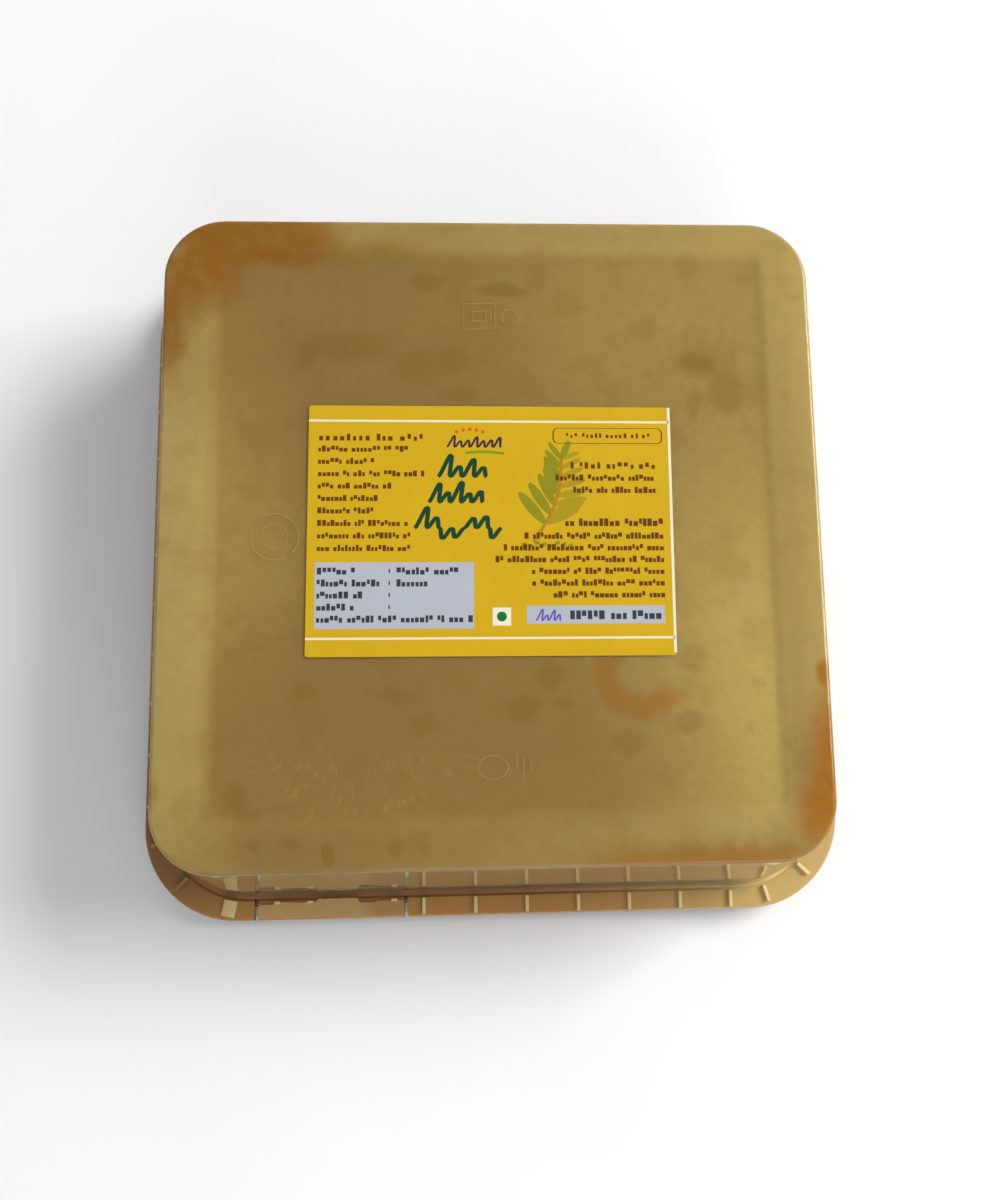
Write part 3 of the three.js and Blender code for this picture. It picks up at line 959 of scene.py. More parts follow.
@dataclass
class Tub:
    """The moulded tub: sunk base panel, drafted wall, ribbed flange and rim."""

    TAB_STEPS = 56
    SLOPE_STEPS = 6
    WALL_STEPS = 8
    BARS = ((3.4, -41.4, 2.8), (4.6, -42.6, 3.6), (5.8, -41.8, 2.4), (0.0, 41.2, 2.4))  # x, y, length
    RIDGES = (  # x, y, radius along x and along y, corners
        (-2.2, 41.2, 3.0, 2.6, 4), (-2.2, 41.2, 1.3, 1.1, 4), (3.6, 41.0, 1.7, 1.7, 24),
        (-39.2, -0.6, 4.4, 4.4, 40), (-39.2, -0.6, 2.5, 2.5, 28), (-0.8, -42.4, 2.8, 2.2, 28))

    effects: Effects
    sheet: float = 0.9
    wall_drop: float = 34.5
    wall_flare: float = 5.0
    base_corner: float = 11.2
    edge_round: float = 0.8
    inner_tighter: float = 0.2  # how much tighter the inside of that edge is
    groove_width: float = 0.9
    groove_depth: float = 0.4
    flange_reach: float = 9.65
    flange_tighter: float = 2.2
    flange_round: float = 0.4
    lip_drop: float = 1.8
    panel_sides: tuple[float, float, float, float] = (-50.0, -50.8, 51.0, 53.5)
    panel_corner: float = 3.0
    panel_slope: float = 1.2
    panel_sink: float = 0.4
    rim_bottom: float = 1.5
    rim_step: float = 0.1
    bead_reach: float = 0.45
    bead_half: float = 0.6
    rib_pitch: float = 10.25
    rib_shift: float = 0.8
    ribs_per_side: int = 10
    rib_width: float = 0.7
    rib_height: float = 0.9
    rib_root: float = 0.5
    wide_rib: float = 2.6
    corner_ribs: tuple[float, ...] = (17.0, 45.0, 78.0)
    tab_centre: float = -32.8
    tab_width: float = 29.4
    tab_slot: float = 0.75
    tab_height: float = 0.6
    tab_gap: float = 1.2
    tab_round: float = 0.12
    nib_shares: tuple[float, ...] = (-0.36, -0.14, 0.42)  # places along the tab, from its middle
    nib_width: float = 1.2
    nib_depth_share: float = 0.45
    nib_height: float = 0.9
    nib_round: float = 0.15
    mark_width: float = 0.3
    mark_height: float = 0.09
    mark_root: float = 0.1
    top: float = field(init=False)
    base_half: float = field(init=False)

    def __post_init__(self) -> None:
        """Reads the outer size from the frame."""
        low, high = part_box("tub")
        self.top = high[2] / MM
        self.base_half = (high[0] - low[0]) / 2 / MM - self.flange_reach

    @property
    def flange_top(self) -> float:
        """Height of the flange's upper face."""
        return self.top - self.wall_drop

    @property
    def foot(self) -> float:
        """Height of the groove that runs round the foot of the wall."""
        return self.flange_top - self.groove_depth

    @property
    def panel_top(self) -> float:
        """Height of the sunk panel that carries the label."""
        return self.top - self.panel_sink

    @property
    def torn(self) -> float:
        """Where the tab was torn from the wall, along Y."""
        return -(self.base_half + self.wall_flare) - self.tab_gap

    def outline(self, outward: float, z: float, zone: int = 0) -> Level:
        """A level that runs parallel to the base's outline, a distance outside it."""
        return Level.square(self.base_half, self.base_corner, 0.0).grown(outward, z, zone)

    def flange(self, outward: float, z: float, zone: int = Zone.FLANGE.value) -> Level:
        """A level of the flange, whose corners are tighter than the wall's."""
        corner = self.base_corner + outward - self.flange_tighter
        return Level.square(self.base_half + outward, corner, z, zone)

    def panel(self, outward: float, z: float) -> Level:
        """A level that runs parallel to the sunk panel's sides, a distance outside them."""
        return Level(self.panel_sides[:2], self.panel_sides[2:], self.panel_corner, 0.0).grown(outward, z)

    def wall_at(self, z: float) -> float:
        """How far the wall's outer face stands outside the base at a height."""
        start = self.top - self.edge_round
        return self.wall_flare * (start - z) / (start - self.foot)

    def base_levels(self, z: float, inset: float, edge: float) -> list[Level]:
        """The sunk panel's slope, the shoulder, and the rounding into the wall.

        Args:
            z: The height of the shoulder.
            inset: How far the skin lies inside the outer one.
            edge: The radius of the rounding.

        Returns:
            The levels, from the panel outward.
        """
        slope = []
        for i in range(self.SLOPE_STEPS + 1):
            share = i / self.SLOPE_STEPS
            ease = share * share * (3 - 2 * share)
            out = self.panel_slope * (2 * share - 1)
            slope.append(self.panel(out, z - self.panel_sink * (1 - ease)))
        return slope + round_levels(self.outline, -inset - edge, z - edge, edge, 90, 0)

    def wall_levels(self, start: float, end: float, inset: float, steps: int, zone: int = 0) -> list[Level]:
        """Levels down the wall from a height to a lower one, an inset inside its outer face."""
        heights = [start + (end - start) * i / steps for i in range(1, steps + 1)]
        return [self.outline(self.wall_at(z) - inset, z, zone) for z in heights]

    def shell(self) -> Piece:
        """Builds the moulded skin, inside and out.

        Returns:
            The skin, not yet dressed.
        """
        wall, crease = Zone.WALL.value, Zone.CREASE.value
        inner = self.base_levels(self.top - self.sheet, self.sheet, self.edge_round - self.inner_tighter)
        outer = self.base_levels(self.top, 0.0, self.edge_round)
        under, lip = self.flange_top - self.sheet, self.flange_top - self.lip_drop
        within, soft = self.flange_reach - self.sheet, self.flange_round
        rim = self.wall_flare + self.rim_step
        bead = self.rim_bottom + 2 * self.bead_half
        loft = Loft(outer[0])
        loft.to(*outer[1:])
        loft.to(*self.wall_levels(self.top - self.edge_round, self.foot, 0.0, self.WALL_STEPS, wall))
        loft.to(self.outline(self.wall_flare + self.groove_width / 2, self.foot, crease))
        loft.to(self.outline(self.wall_flare + self.groove_width, self.flange_top, crease))
        loft.to(*round_levels(self.flange, self.flange_reach - soft, self.flange_top - soft, soft,
                              90, 0, 4))
        loft.to(self.flange(self.flange_reach, lip), self.flange(within, lip), self.flange(within, under))
        profile = [
            (rim, under),
            (rim, bead + self.bead_half),
            (rim + self.bead_reach, bead),
            (rim, bead - self.bead_half),
            (rim, self.rim_bottom),
            (rim - self.sheet, self.rim_bottom),
            (rim - self.sheet, under),
        ]
        loft.to(*(self.outline(outward, z, Zone.FLANGE.value) for outward, z in profile))
        loft.to(replace(inner[-1], zone=wall), *reversed(inner[:-1]))
        return make_object("tub_shell", loft.close(), [])

    def part(self, name: str, bm: Mesh, zone: Zone) -> Piece:
        """Finishes a mesh made in millimetres that is to be joined to the shell or cut from it.

        Args:
            name: The part's name.
            bm: The mesh, which is used up.
            zone: Its plastic.

        Returns:
            The part.
        """
        for face in bm.faces:
            face.material_index = zone.value
        return make_object(name, to_metres(bm), [])

    def rib(self, bm: Mesh, inner: float, outer: float, width: float, place: Matrix) -> None:
        """Adds one stiffening rib, lying outward along +X before it is placed.

        Args:
            bm: The mesh that it joins.
            inner: Its inner end.
            outer: Its outer end.
            width: Its width.
            place: Where it goes.
        """
        height = self.rib_height + self.rib_root
        middle = Vector(((inner + outer) / 2, 0.0, self.flange_top - self.rib_root + height / 2))
        block(bm, (outer - inner, width, height), place @ Matrix.Translation(middle), self.rib_width / 5)

    def ribs(self) -> Piece:
        """Builds all the ribs on the flange.

        Returns:
            The ribs.
        """
        bm = bmesh.new()
        inner, outer = self.wall_flare + self.groove_width, self.flange_reach - self.rib_root
        for side in range(4):
            turn = turned(side * math.pi / 2)
            for i in range(self.ribs_per_side):
                along = (i - (self.ribs_per_side - 1) / 2) * self.rib_pitch + self.rib_shift
                if side == 0 and abs(along - self.tab_centre) < self.tab_width / 2:
                    continue
                place = turn @ Matrix.Translation((along, 0, 0)) @ turned(-math.pi / 2)
                self.rib(bm, self.base_half + inner, self.base_half + outer, self.rib_width, place)
            reach = self.base_half - self.base_corner
            for order, degrees in enumerate(self.corner_ribs):
                wide = side == 2 and order == len(self.corner_ribs) - 1
                place = turn @ Matrix.Translation((reach, reach, 0)) @ turned(math.radians(degrees))
                self.rib(bm, self.base_corner + inner, self.base_corner + outer,
                         self.wide_rib if wide else self.rib_width, place)
        return self.part("ribs", bm, Zone.RIB)

    def torn_edge(self, share: float) -> float:
        """How far the tab's inner edge stands proud of the tear line, in millimetres.

        Args:
            share: The place along the tab, from 0 at its left end to 1 at its right.

        Returns:
            A distance toward the wall.
        """
        proud = 0.5 * self.tab_gap if 0.4 < share < 0.68 else 0.0
        low = -0.25 * self.tab_gap if share < 0.12 or 0.68 <= share < 0.8 else 0.0
        return proud + low + 0.16 * noise.noise(Vector((share * 34, 0.3, 0.0)))

    def tab(self) -> Piece:
        """Builds the raised tear tab, with its uneven torn inner edge.

        Returns:
            The tab.
        """
        bm = bmesh.new()
        width = self.tab_width - self.tab_slot
        outer = -(self.base_half + self.flange_reach - self.flange_round)
        bmesh.ops.create_grid(bm, x_segments=self.TAB_STEPS, y_segments=1, size=0.5)
        for vert in bm.verts:
            share = vert.co.x + 0.5
            y = self.torn + self.torn_edge(share) if vert.co.y > 0 else outer
            vert.co = (self.tab_centre + vert.co.x * width, y, self.flange_top - self.rib_root)
        top = set(pull_up(bm, bm.faces, self.tab_height + self.rib_root))
        rim = [edge for edge in bm.edges if set(edge.verts) <= top
               and any(face.normal.z < 0.5 for face in edge.link_faces)]
        bmesh.ops.recalc_face_normals(bm, faces=bm.faces)
        bevel(bm, rim, self.tab_round, 2)
        return self.part("tab", bm, Zone.TAB)

    def nibs(self) -> Piece:
        """Builds the little bridges that are left along the torn edge.

        Returns:
            The bridges.
        """
        bm = bmesh.new()
        height = self.nib_height + self.rib_root
        for share in self.nib_shares:
            middle = Vector((self.tab_centre + share * self.tab_width, self.torn,
                             self.flange_top - self.rib_root + height / 2))
            size = (self.nib_width, self.tab_gap * self.nib_depth_share, height)
            block(bm, size, Matrix.Translation(middle), self.nib_round)
        return self.part("nibs", bm, Zone.RIB)

    def slots(self) -> Piece:
        """Builds the cutters for the slots at the tab's ends.

        Returns:
            The cutters.
        """
        bm = bmesh.new()
        inner = self.base_half + self.wall_flare + self.tab_gap / 2
        outer = self.base_half + self.flange_reach + 1
        for side in (-1, 1):
            middle = Vector((self.tab_centre + side * self.tab_width / 2, -(inner + outer) / 2,
                             self.flange_top))
            block(bm, (self.tab_slot, outer - inner, self.lip_drop * 3), Matrix.Translation(middle))
        return self.part("slots", bm, Zone.SLOT)

    def ridge(self, bm: Mesh, x: float, y: float, radius_x: float, radius_y: float,
              corners: int) -> None:
        """Adds a low closed ridge that is round, or square when it has four corners.

        Args:
            bm: The mesh that it joins.
            x: Its middle across.
            y: Its middle along.
            radius_x: Half its width.
            radius_y: Half its depth.
            corners: How many corners it has.
        """
        reach = math.sqrt(2) if corners == 4 else 1.0
        place = (Matrix.Translation((x, y, self.panel_top - self.mark_root))
                 @ Matrix.Diagonal((radius_x * reach, radius_y * reach, 1.0, 1.0))
                 @ turned(math.pi / corners))
        made = bmesh.ops.create_circle(bm, cap_ends=True, segments=corners, radius=1.0, matrix=place)
        middle = made["verts"][0].link_faces[0]
        band = bmesh.ops.inset_individual(bm, faces=[middle], thickness=self.mark_width)["faces"]
        bmesh.ops.delete(bm, geom=[middle], context="FACES_ONLY")
        pull_up(bm, band, self.mark_root + self.mark_height)

    def marks(self) -> Piece:
        """Builds the low raised marks on the base panel: a frame, rings and bars.

        Returns:
            The marks.
        """
        bm = bmesh.new()
        tall = self.mark_root + self.mark_height
        for x, y, length in self.BARS:
            middle = Vector((x, y, self.panel_top - self.mark_root + tall / 2))
            block(bm, (self.mark_width, length, tall), Matrix.Translation(middle))
        for ridge in self.RIDGES:
            self.ridge(bm, *ridge)
        bmesh.ops.recalc_face_normals(bm, faces=bm.faces)
        return self.part("marks", bm, Zone.MARK)

    def build(self) -> Piece:
        """Puts the tub together and dresses it.

        Returns:
            The finished tub.
        """
        tub = self.shell()
        finishes = [
            HazyPlastic("tub base plastic", srgb(253, 248, 230), 1.0, 0.14, 0.2, 0.01, 1.6, ior=1.4),
            HazyPlastic("tub wall plastic", srgb(250, 234, 204), 0.91, 0.05, 0.07, 0.0, 0.15),
            # Flange: deep is painted shade toward the left, and the patch painted shade from the wall at
            # the front-left corner.
            HazyPlastic("tub flange plastic", srgb(218, 186, 118), 0.3, 0.12, 0.2, 0.01, 0.4,
                        srgb(204, 149, 73), 60.0, 4.0, Stain(-62, -47, 13, 18, 0.8, 0.0, 0.7),
                        srgb(120, 80, 38)),
            # Ribs and nibs: the tint, paler than the flange's, is partly painted highlight on their tops;
            # the patch is painted shade on the ribs at the front-left corner.
            HazyPlastic("tub rib plastic", srgb(250, 228, 158), 0.2, 0.12, 0.2, 0.01, 0.4,
                        patch=Stain(-67, -64, 12, 14, 0.9, 0.0), patch_colour=srgb(160, 108, 54)),
            HazyPlastic("tub tab plastic", srgb(220, 180, 112), 0.25, 0.2, 0.3, 0.01, 0.4,
                        patch=Stain(-21, -68, 5, 5, 0.45, 3.0), patch_colour=srgb(176, 118, 54)),
            # Crease: the groove at the wall's foot darkens toward the left as painted shade.
            HazyPlastic("tub crease plastic", srgb(224, 190, 122), 0.0, 0.5, 0.6, 0.01, 0.4,
                        srgb(170, 114, 64), 60.0, -6.0),
            # Slot walls: dark brown as painted shade inside the cut.
            HazyPlastic("tub slot plastic", srgb(74, 50, 46), 0.0, 0.4, 0.5, 0.01, 0.4),
            # Marks: hazier and paler than the base, as painted highlight on the raised lines.
            HazyPlastic("tub mark plastic", srgb(236, 208, 132), 0.84, 0.2, 0.3, 0.01, 0.4),
        ]
        for finish in finishes:
            tub.data.materials.append(finish.material(self.effects))
        steps = ((self.ribs(), "UNION"), (self.tab(), "UNION"), (self.nibs(), "UNION"),
                 (self.marks(), "UNION"), (self.slots(), "DIFFERENCE"))
        for tool, operation in steps:
            for material in tub.data.materials:
                tool.data.materials.append(material)
            combine(tub, tool, operation)
        soften(tub)
        return settle(tub, "tub_plastic", "tub")


# ---- the lid ------------------------------------------------------------------------


@dataclass
class Lid:
    """The lid that the turned-over tub stands on: skirt, bearing ring and raised middle."""

    effects: Effects
    tub: Tub
    reach: float = 7.0
    skirt: float = 1.1
    brim: float = 0.9
    ring_floor: float = 1.1
    panel_rise: float = 1.2
    panel_half: float = 55.0
    panel_corner: float = 8.0
    slope: float = 1.5
    edge_round: float = 0.5
    brim_round: float = 0.3

    def build(self) -> Piece:
        """Builds and dresses the lid.

        Returns:
            The finished lid.
        """
        low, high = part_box("lid")
        outline, soft = self.tub.outline, self.brim_round
        far = (high[0] - low[0]) / 2 / MM - self.tub.base_half
        top = high[2] / MM
        inner = self.reach - self.skirt
        panel = Level.square(self.panel_half, self.panel_corner, 0.0)
        loft = Loft(panel.grown(0.0, self.panel_rise + self.tub.sheet))
        loft.to(panel.grown(self.slope, self.ring_floor))
        levels = [outline(inner, self.ring_floor), outline(inner, top - soft)]
        levels += round_levels(outline, inner + soft, top - soft, soft, 180, 90, 3)[1:]
        levels += round_levels(outline, far - soft, top - soft, soft, 90, 0, 3)
        levels += round_levels(outline, far - soft, top - self.brim + soft, soft, 0, -90, 3)
        levels += [outline(self.reach, top - self.brim)]
        levels += round_levels(outline, self.reach - self.edge_round, self.edge_round, self.edge_round,
                               0, -90, 4)
        loft.to(*levels, panel.grown(self.slope, 0.0), panel.grown(0.0, self.panel_rise))
        plastic = HazyPlastic("lid plastic", srgb(228, 212, 176), 0.85, 0.12, 0.3, 0.02, 0.3)
        lid = make_object("lid_cap", loft.close(), [plastic.material(self.effects)])
        soften(lid)
        return settle(lid, "lid_plastic", "lid")


# ---- the jaggery --------------------------------------------------------------------


@dataclass
class JaggeryBlock:
    """The set block. Its skin lies a third of the way into the plastic, so that no gap shows."""

    WALL_STEPS = 6
    MENISCUS = ((0.15, 0.45), (0.35, 0.75), (0.65, 0.95), (1.0, 1.0))  # shares of its width and height

    effects: Effects
    tub: Tub
    into_wall: float = 0.3
    meniscus: float = 1.2
    meniscus_width: float = 5.0
    ring_step: float = 5.0
    relief: float = 0.35
    relief_margin: float = 4.0  # over this far from the wall the relief fades in
    big_lump: float = 14.0
    small_lump: float = 5.0
    free_margin: float = 0.4  # how far above the skirt the free surface's colour reaches

    def build(self) -> Piece:
        """Builds and dresses the block.

        Returns:
            The finished block.
        """
        tub = self.tub
        low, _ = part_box("jaggery")
        skirt = low[2] / MM
        edge = tub.edge_round - self.into_wall
        levels = tub.base_levels(tub.top - self.into_wall, self.into_wall, edge)
        loft = Loft(levels[0])
        loft.to(*levels[1:])
        loft.to(*tub.wall_levels(tub.top - self.into_wall - edge, skirt, self.into_wall, self.WALL_STEPS))
        wall = tub.wall_at(skirt) - self.into_wall
        for share, climb in self.MENISCUS:
            loft.to(tub.outline(wall - self.meniscus_width * share, skirt + self.meniscus * climb))
        bottom = skirt + self.meniscus
        half = loft.level.high[0]
        while half > 2 * self.ring_step:
            half -= self.ring_step
            loft.to(Level.square(half, tub.base_corner * half / tub.base_half, bottom))
        bm = loft.close()
        for vert in bm.verts:
            if vert.co.z < (bottom + 0.01) * MM:
                lump = (noise.noise(vert.co / (self.big_lump * MM))
                        + 0.5 * noise.noise(vert.co / (self.small_lump * MM)))
                inside = wall + tub.base_half - max(abs(vert.co.x), abs(vert.co.y)) / MM
                share = max(0.0, min(1.0, inside / self.relief_margin))
                vert.co.z += self.relief * MM * lump * share
        finish = SetJaggery(panel=tub.panel_sides, free_top=skirt + self.free_margin)
        piece = make_object("jaggery_block", bm, [finish.material(self.effects)])
        return settle(piece, "jaggery", "jaggery")


# ---- the back label -----------------------------------------------------------------


class Side(Enum):
    """Which end of a line of greeked text its place names."""

    LEFT = 1
    RIGHT = -1


class Ink(Enum):
    """The label's film and the inks on it: name and colour."""

    YELLOW = ("label yellow", srgb(202, 164, 24))
    WHITE = ("label white", srgb(228, 223, 200))
    PALE = ("label pale grey", srgb(174, 179, 189))
    GREY = ("label grey ink", srgb(58, 56, 64))
    BROWN = ("label brown ink", srgb(100, 58, 20))
    GREEN = ("label green ink", srgb(22, 66, 44))
    DARK = ("label dark ink", srgb(60, 40, 60))
    ORANGE = ("label orange ink", srgb(206, 96, 30))
    LIME = ("label lime ink", srgb(120, 146, 30))
    OLIVE = ("label olive ink", srgb(136, 134, 26))
    GOLD = ("label gold ink", srgb(164, 142, 26))
    OCHRE = ("label ochre ink", srgb(176, 124, 28))
    VIOLET = ("label violet ink", srgb(96, 84, 170))
    DOT = ("label dot green", srgb(24, 110, 40))


@dataclass(frozen=True)
class TextLine:
    """A line of greeked text: plain marks in word groups, with no letters."""

    x: float  # mm from the label's left edge
    y: float  # mm from its top edge, to the middle of the line
    length: float
    height: float = 1.0
    side: Side = Side.LEFT
    spaced: bool = False


@dataclass
class Label:
    """The printed sticker on the base panel. Places on it run from its top left corner."""

    WAVE_STEPS = 12
    BRANCH_STEPS = 9
    TITLE_ROWS = (  # x, foot, width, heights of the waves
        (23.4, 13.4, 8.8, (4.2, 2.0, 3.4, 1.8)),
        (21.7, 18.2, 9.8, (3.6, 1.9, 3.9, 1.7, 2.1)),
        (19.2, 23.0, 15.6, (4.0, 2.0, -2.0, -1.8, 1.9, 2.2, -1.9)))
    MOTIF_HEIGHTS = (2.2, 1.2, 1.3, 2.0, 1.2, 1.4, 1.9)
    STAMP_HEIGHTS = (2.1, 1.0, 1.9, 1.1)
    FACTS_LENGTHS = (16.2, 9.6, 18.6, 12.8, 10.2, 10.6, 15.8, 16.4, 16.2)
    FACTS_PITCH = 2.31
    MAKER_HEADS = (
        TextLine(63.0, 11.2, 15.4, 1.2, Side.RIGHT, True), TextLine(62.7, 13.5, 17.8, 1.15, Side.RIGHT),
        TextLine(63.0, 15.8, 15.6, 1.15, Side.RIGHT), TextLine(64.2, 21.9, 17.8, 1.4, Side.RIGHT))
    MAKER_LENGTHS = (25.2, 28.6, 30.8, 23.8, 23.4, 20.2)
    MAKER_PITCH = 2.17
    PANEL_ROWS = (  # length, and whether a second part follows
        (6.4, True), (10.8, True), (8.2, False), (6.0, False), (27.6, False))
    PANEL_PITCH = 2.18

    effects: Effects
    tub: Tub
    width: float = 66.1
    depth: float = 46.4
    shift: tuple[float, float] = (-0.4, 0.48)
    ply: float = 0.0006  # each stretch of a stroke lies this much over the one before
    turn_degrees: float = -0.45
    thickness: float = 0.14
    ink: float = 0.02
    corner: float = 0.5
    rng: random.Random = field(default_factory=lambda: random.Random(11))

    def place(self) -> Matrix:
        """Where the label's middle goes, in metres."""
        return (Matrix.Translation(Vector((*self.shift, self.tub.panel_top)) * MM)
                @ turned(math.radians(self.turn_degrees)))

    def at(self, x: float, y: float) -> Vector:
        """A place on the label's face, in millimetres from its middle."""
        return Vector((x - self.width / 2, self.depth / 2 - y, self.thickness))

    def layer(self, name: str, bm: Mesh, ink: Ink, *nodes: str) -> Piece:
        """Scales, places, dresses and settles one layer of the label.

        Args:
            name: The layer's name.
            bm: The mesh in millimetres, which is used up.
            ink: Its colour.
            *nodes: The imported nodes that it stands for, if any.

        Returns:
            The finished layer.
        """
        bmesh.ops.recalc_face_normals(bm, faces=bm.faces)
        to_metres(bm)
        bmesh.ops.transform(bm, matrix=self.place(), verts=bm.verts)
        piece = make_object(name, bm, [PrintedFilm(*ink.value).material(self.effects)])
        return settle(piece, "label_paper", *nodes)

    def slab(self, bm: Mesh, x: float, y: float, width: float, depth: float, layer: int = 1) -> None:
        """Adds a thin field of ink, from its top left corner, on a numbered layer.

        Args:
            bm: The mesh that it joins.
            x: The field's left edge.
            y: Its top edge.
            width: Its width.
            depth: Its depth.
            layer: The layer of ink that it lies on.
        """
        middle = self.at(x + width / 2, y + depth / 2)
        thick = self.ink * layer
        middle.z += thick / 2
        block(bm, (width, depth, thick), Matrix.Translation(middle))

    def sheet(self) -> Piece:
        """Builds the sticker itself.

        Returns:
            The finished sticker.
        """
        bm = bmesh.new()
        bmesh.ops.create_grid(bm, x_segments=1, y_segments=1, size=0.5)
        bmesh.ops.scale(bm, vec=(self.width, self.depth, 1), verts=bm.verts)
        bevel(bm, bm.verts, self.corner, 4, "VERTICES")
        pull_up(bm, bm.faces, self.thickness)
        bmesh.ops.recalc_face_normals(bm, faces=bm.faces)
        return self.layer("label_sheet", bm, Ink.YELLOW, "label")

    def greek(self, bm: Mesh, line: TextLine, layer: int = 1) -> None:
        """Adds a line's marks: narrow lozenges of uneven height, grouped as words.

        Args:
            bm: The mesh that they join.
            line: The line's place and size.
            layer: The layer of ink that they lie on.
        """
        travelled = 0.0
        word_left = self.rng.randint(3, 9)
        while travelled < line.length:
            width = self.rng.uniform(0.36, 0.64) * line.height
            gap = self.rng.uniform(0.12, 0.2) * line.height * (2.6 if line.spaced else 1.0)
            tall = line.height * self.rng.choice((0.62, 0.66, 0.7, 1.0))
            start = travelled if line.side is Side.LEFT else -travelled - width
            drop = (line.height - tall) / 2 * self.rng.choice((1, 1, 1, -1))
            self.slab(bm, line.x + start, line.y - tall / 2 + drop, width, tall, layer)
            travelled += width + gap
            word_left -= 1
            if word_left == 0:
                travelled += 0.55 * line.height
                word_left = self.rng.randint(2, 9)

    def stroke(self, bm: Mesh, path: Sequence[Vector], width: float, layer: int = 1) -> None:
        """Draws a flat brush stroke, thinner where it runs level.

        Args:
            bm: The mesh that it joins.
            path: Its points, as places on the label.
            width: Its full width in millimetres.
            layer: The numbered layer of ink that it lies on.
        """
        edge: list[Edge] = []
        ribbon: list[Face] = []
        for i, spot in enumerate(path):
            ahead = (path[min(i + 1, len(path) - 1)] - path[max(i - 1, 0)]).normalized()
            half = width / 2 * (0.45 + 0.55 * abs(ahead.y))
            side = Vector((-ahead.y, ahead.x)) * half
            if edge:
                made = bmesh.ops.extrude_edge_only(bm, edges=edge)["geom"]
                ends = of_kind(made, Vert)
                ribbon += of_kind(made, Face)
                edge = [item for item in of_kind(made, Edge) if set(item.verts) == set(ends)]
            else:
                ends = [bm.verts.new((0, 0, 0)), bm.verts.new((0, 0, 0))]
                edge = [bm.edges.new(ends)]
            for vert, shift in zip(edge[0].verts, (side, -side)):
                rise = self.ink * layer + self.ply * i
                vert.co = self.at(spot.x + shift.x, spot.y + shift.y) + Vector((0, 0, rise))
        self.close_ink(bm, ribbon)

    def close_ink(self, bm: Mesh, faces: Iterable[Face]) -> None:
        """Closes flat ink down to the label's face."""
        for vert in pull_up(bm, faces, 0.0):
            vert.co.z = self.thickness

    def waves(self, x: float, y: float, width: float, heights: Sequence[float]) -> list[Vector]:
        """A slanted brush line of uneven waves, in place of handwriting.

        Args:
            x: Left end, in millimetres from the label's left edge.
            y: The line that the waves stand on, from its top edge.
            width: Length of the row.
            heights: Height of each wave, negative for one that hangs under the line.

        Returns:
            The path's points.
        """
        pitch = width / len(heights)
        points = []
        for i in range(len(heights) * self.WAVE_STEPS + 1):
            order, angle = i // self.WAVE_STEPS, 2 * math.pi * i / self.WAVE_STEPS
            lift = heights[min(order, len(heights) - 1)] * (0.5 - 0.5 * math.cos(angle))
            points.append(Vector((x + pitch * i / self.WAVE_STEPS + 0.3 * lift, y - lift)))
        return points

    def leaf(self, bm: Mesh, x: float, y: float, length: float, width: float, degrees: float,
             layer: float = 1.0) -> None:
        """Adds a flat leaf that grows from a place at an angle.

        Args:
            bm: The mesh that it joins.
            x: Where it starts, from the left edge.
            y: The same, from the top edge.
            length: Its length.
            width: Its width.
            degrees: Which way it grows, 0 to the right and 90 up.
            layer: The layer of ink that it lies on.
        """
        angle = math.radians(degrees)
        middle = self.at(x + length / 2 * math.cos(angle), y - length / 2 * math.sin(angle))
        middle.z += self.ink * layer
        place = (Matrix.Translation(middle) @ turned(angle)
                 @ Matrix.Diagonal((length / 2, width / 2, 1.0, 1.0)))
        made = bmesh.ops.create_circle(bm, cap_ends=True, segments=14, radius=1.0, matrix=place)
        self.close_ink(bm, made["verts"][0].link_faces)

    def sprig(self) -> None:
        """Builds a leafy branch that leans to the right, over a row of seeds."""
        green, gold, brown = bmesh.new(), bmesh.new(), bmesh.new()
        shares = [i / self.BRANCH_STEPS for i in range(self.BRANCH_STEPS + 1)]
        stem = [Vector((40.6 + 5.2 * share + 1.6 * math.sin(math.pi * share), 25.6 - 15.6 * share))
                for share in shares]
        self.stroke(brown, stem, 0.6)
        for i in range(2, self.BRANCH_STEPS + 1):
            spot, heading = stem[i], 68 + 8 * math.sin(i)
            size, layer = 8.6 - 0.52 * i, 1.0 + 0.03 * i
            self.leaf(green, spot.x, spot.y, size, size * 0.25, heading + 54, layer)
            self.leaf(gold, spot.x, spot.y, size * 0.92, size * 0.23, heading - 50, layer)
        self.leaf(green, stem[-1].x, stem[-1].y, 3.8, 1.3, 66, 1.35)
        for i in range(8):
            self.leaf(green, 38.4 + i * 1.2, 26.2 + 0.3 * math.sin(i * 2.1), 1.0, 0.7, 20.0)
        self.layer("label_branch_green", green, Ink.OLIVE)
        self.layer("label_branch_gold", gold, Ink.GOLD)
        self.layer("label_branch_stem", brown, Ink.OCHRE)

    def title(self) -> None:
        """Builds the brush lines in the title's place and the small motif over them."""
        script = bmesh.new()
        for row in self.TITLE_ROWS:
            self.stroke(script, self.waves(*row), 0.8)
        self.layer("label_title", script, Ink.GREEN)
        motif = bmesh.new()
        self.stroke(motif, self.waves(25.0, 7.8, 9.8, self.MOTIF_HEIGHTS), 0.4)
        self.layer("label_motif", motif, Ink.DARK)
        dots = bmesh.new()
        for i in range(5):
            self.leaf(dots, 26.4 + i * 1.2, 4.9 - 0.5 * math.sin(i * math.pi / 4), 0.7, 0.7, 0.0)
        self.layer("label_motif_dots", dots, Ink.ORANGE)
        swash = bmesh.new()
        self.stroke(swash, [Vector((28.4 + i, 8.9 - 0.25 * math.sin(i * 0.5))) for i in range(8)], 0.9)
        self.layer("label_swash", swash, Ink.LIME)

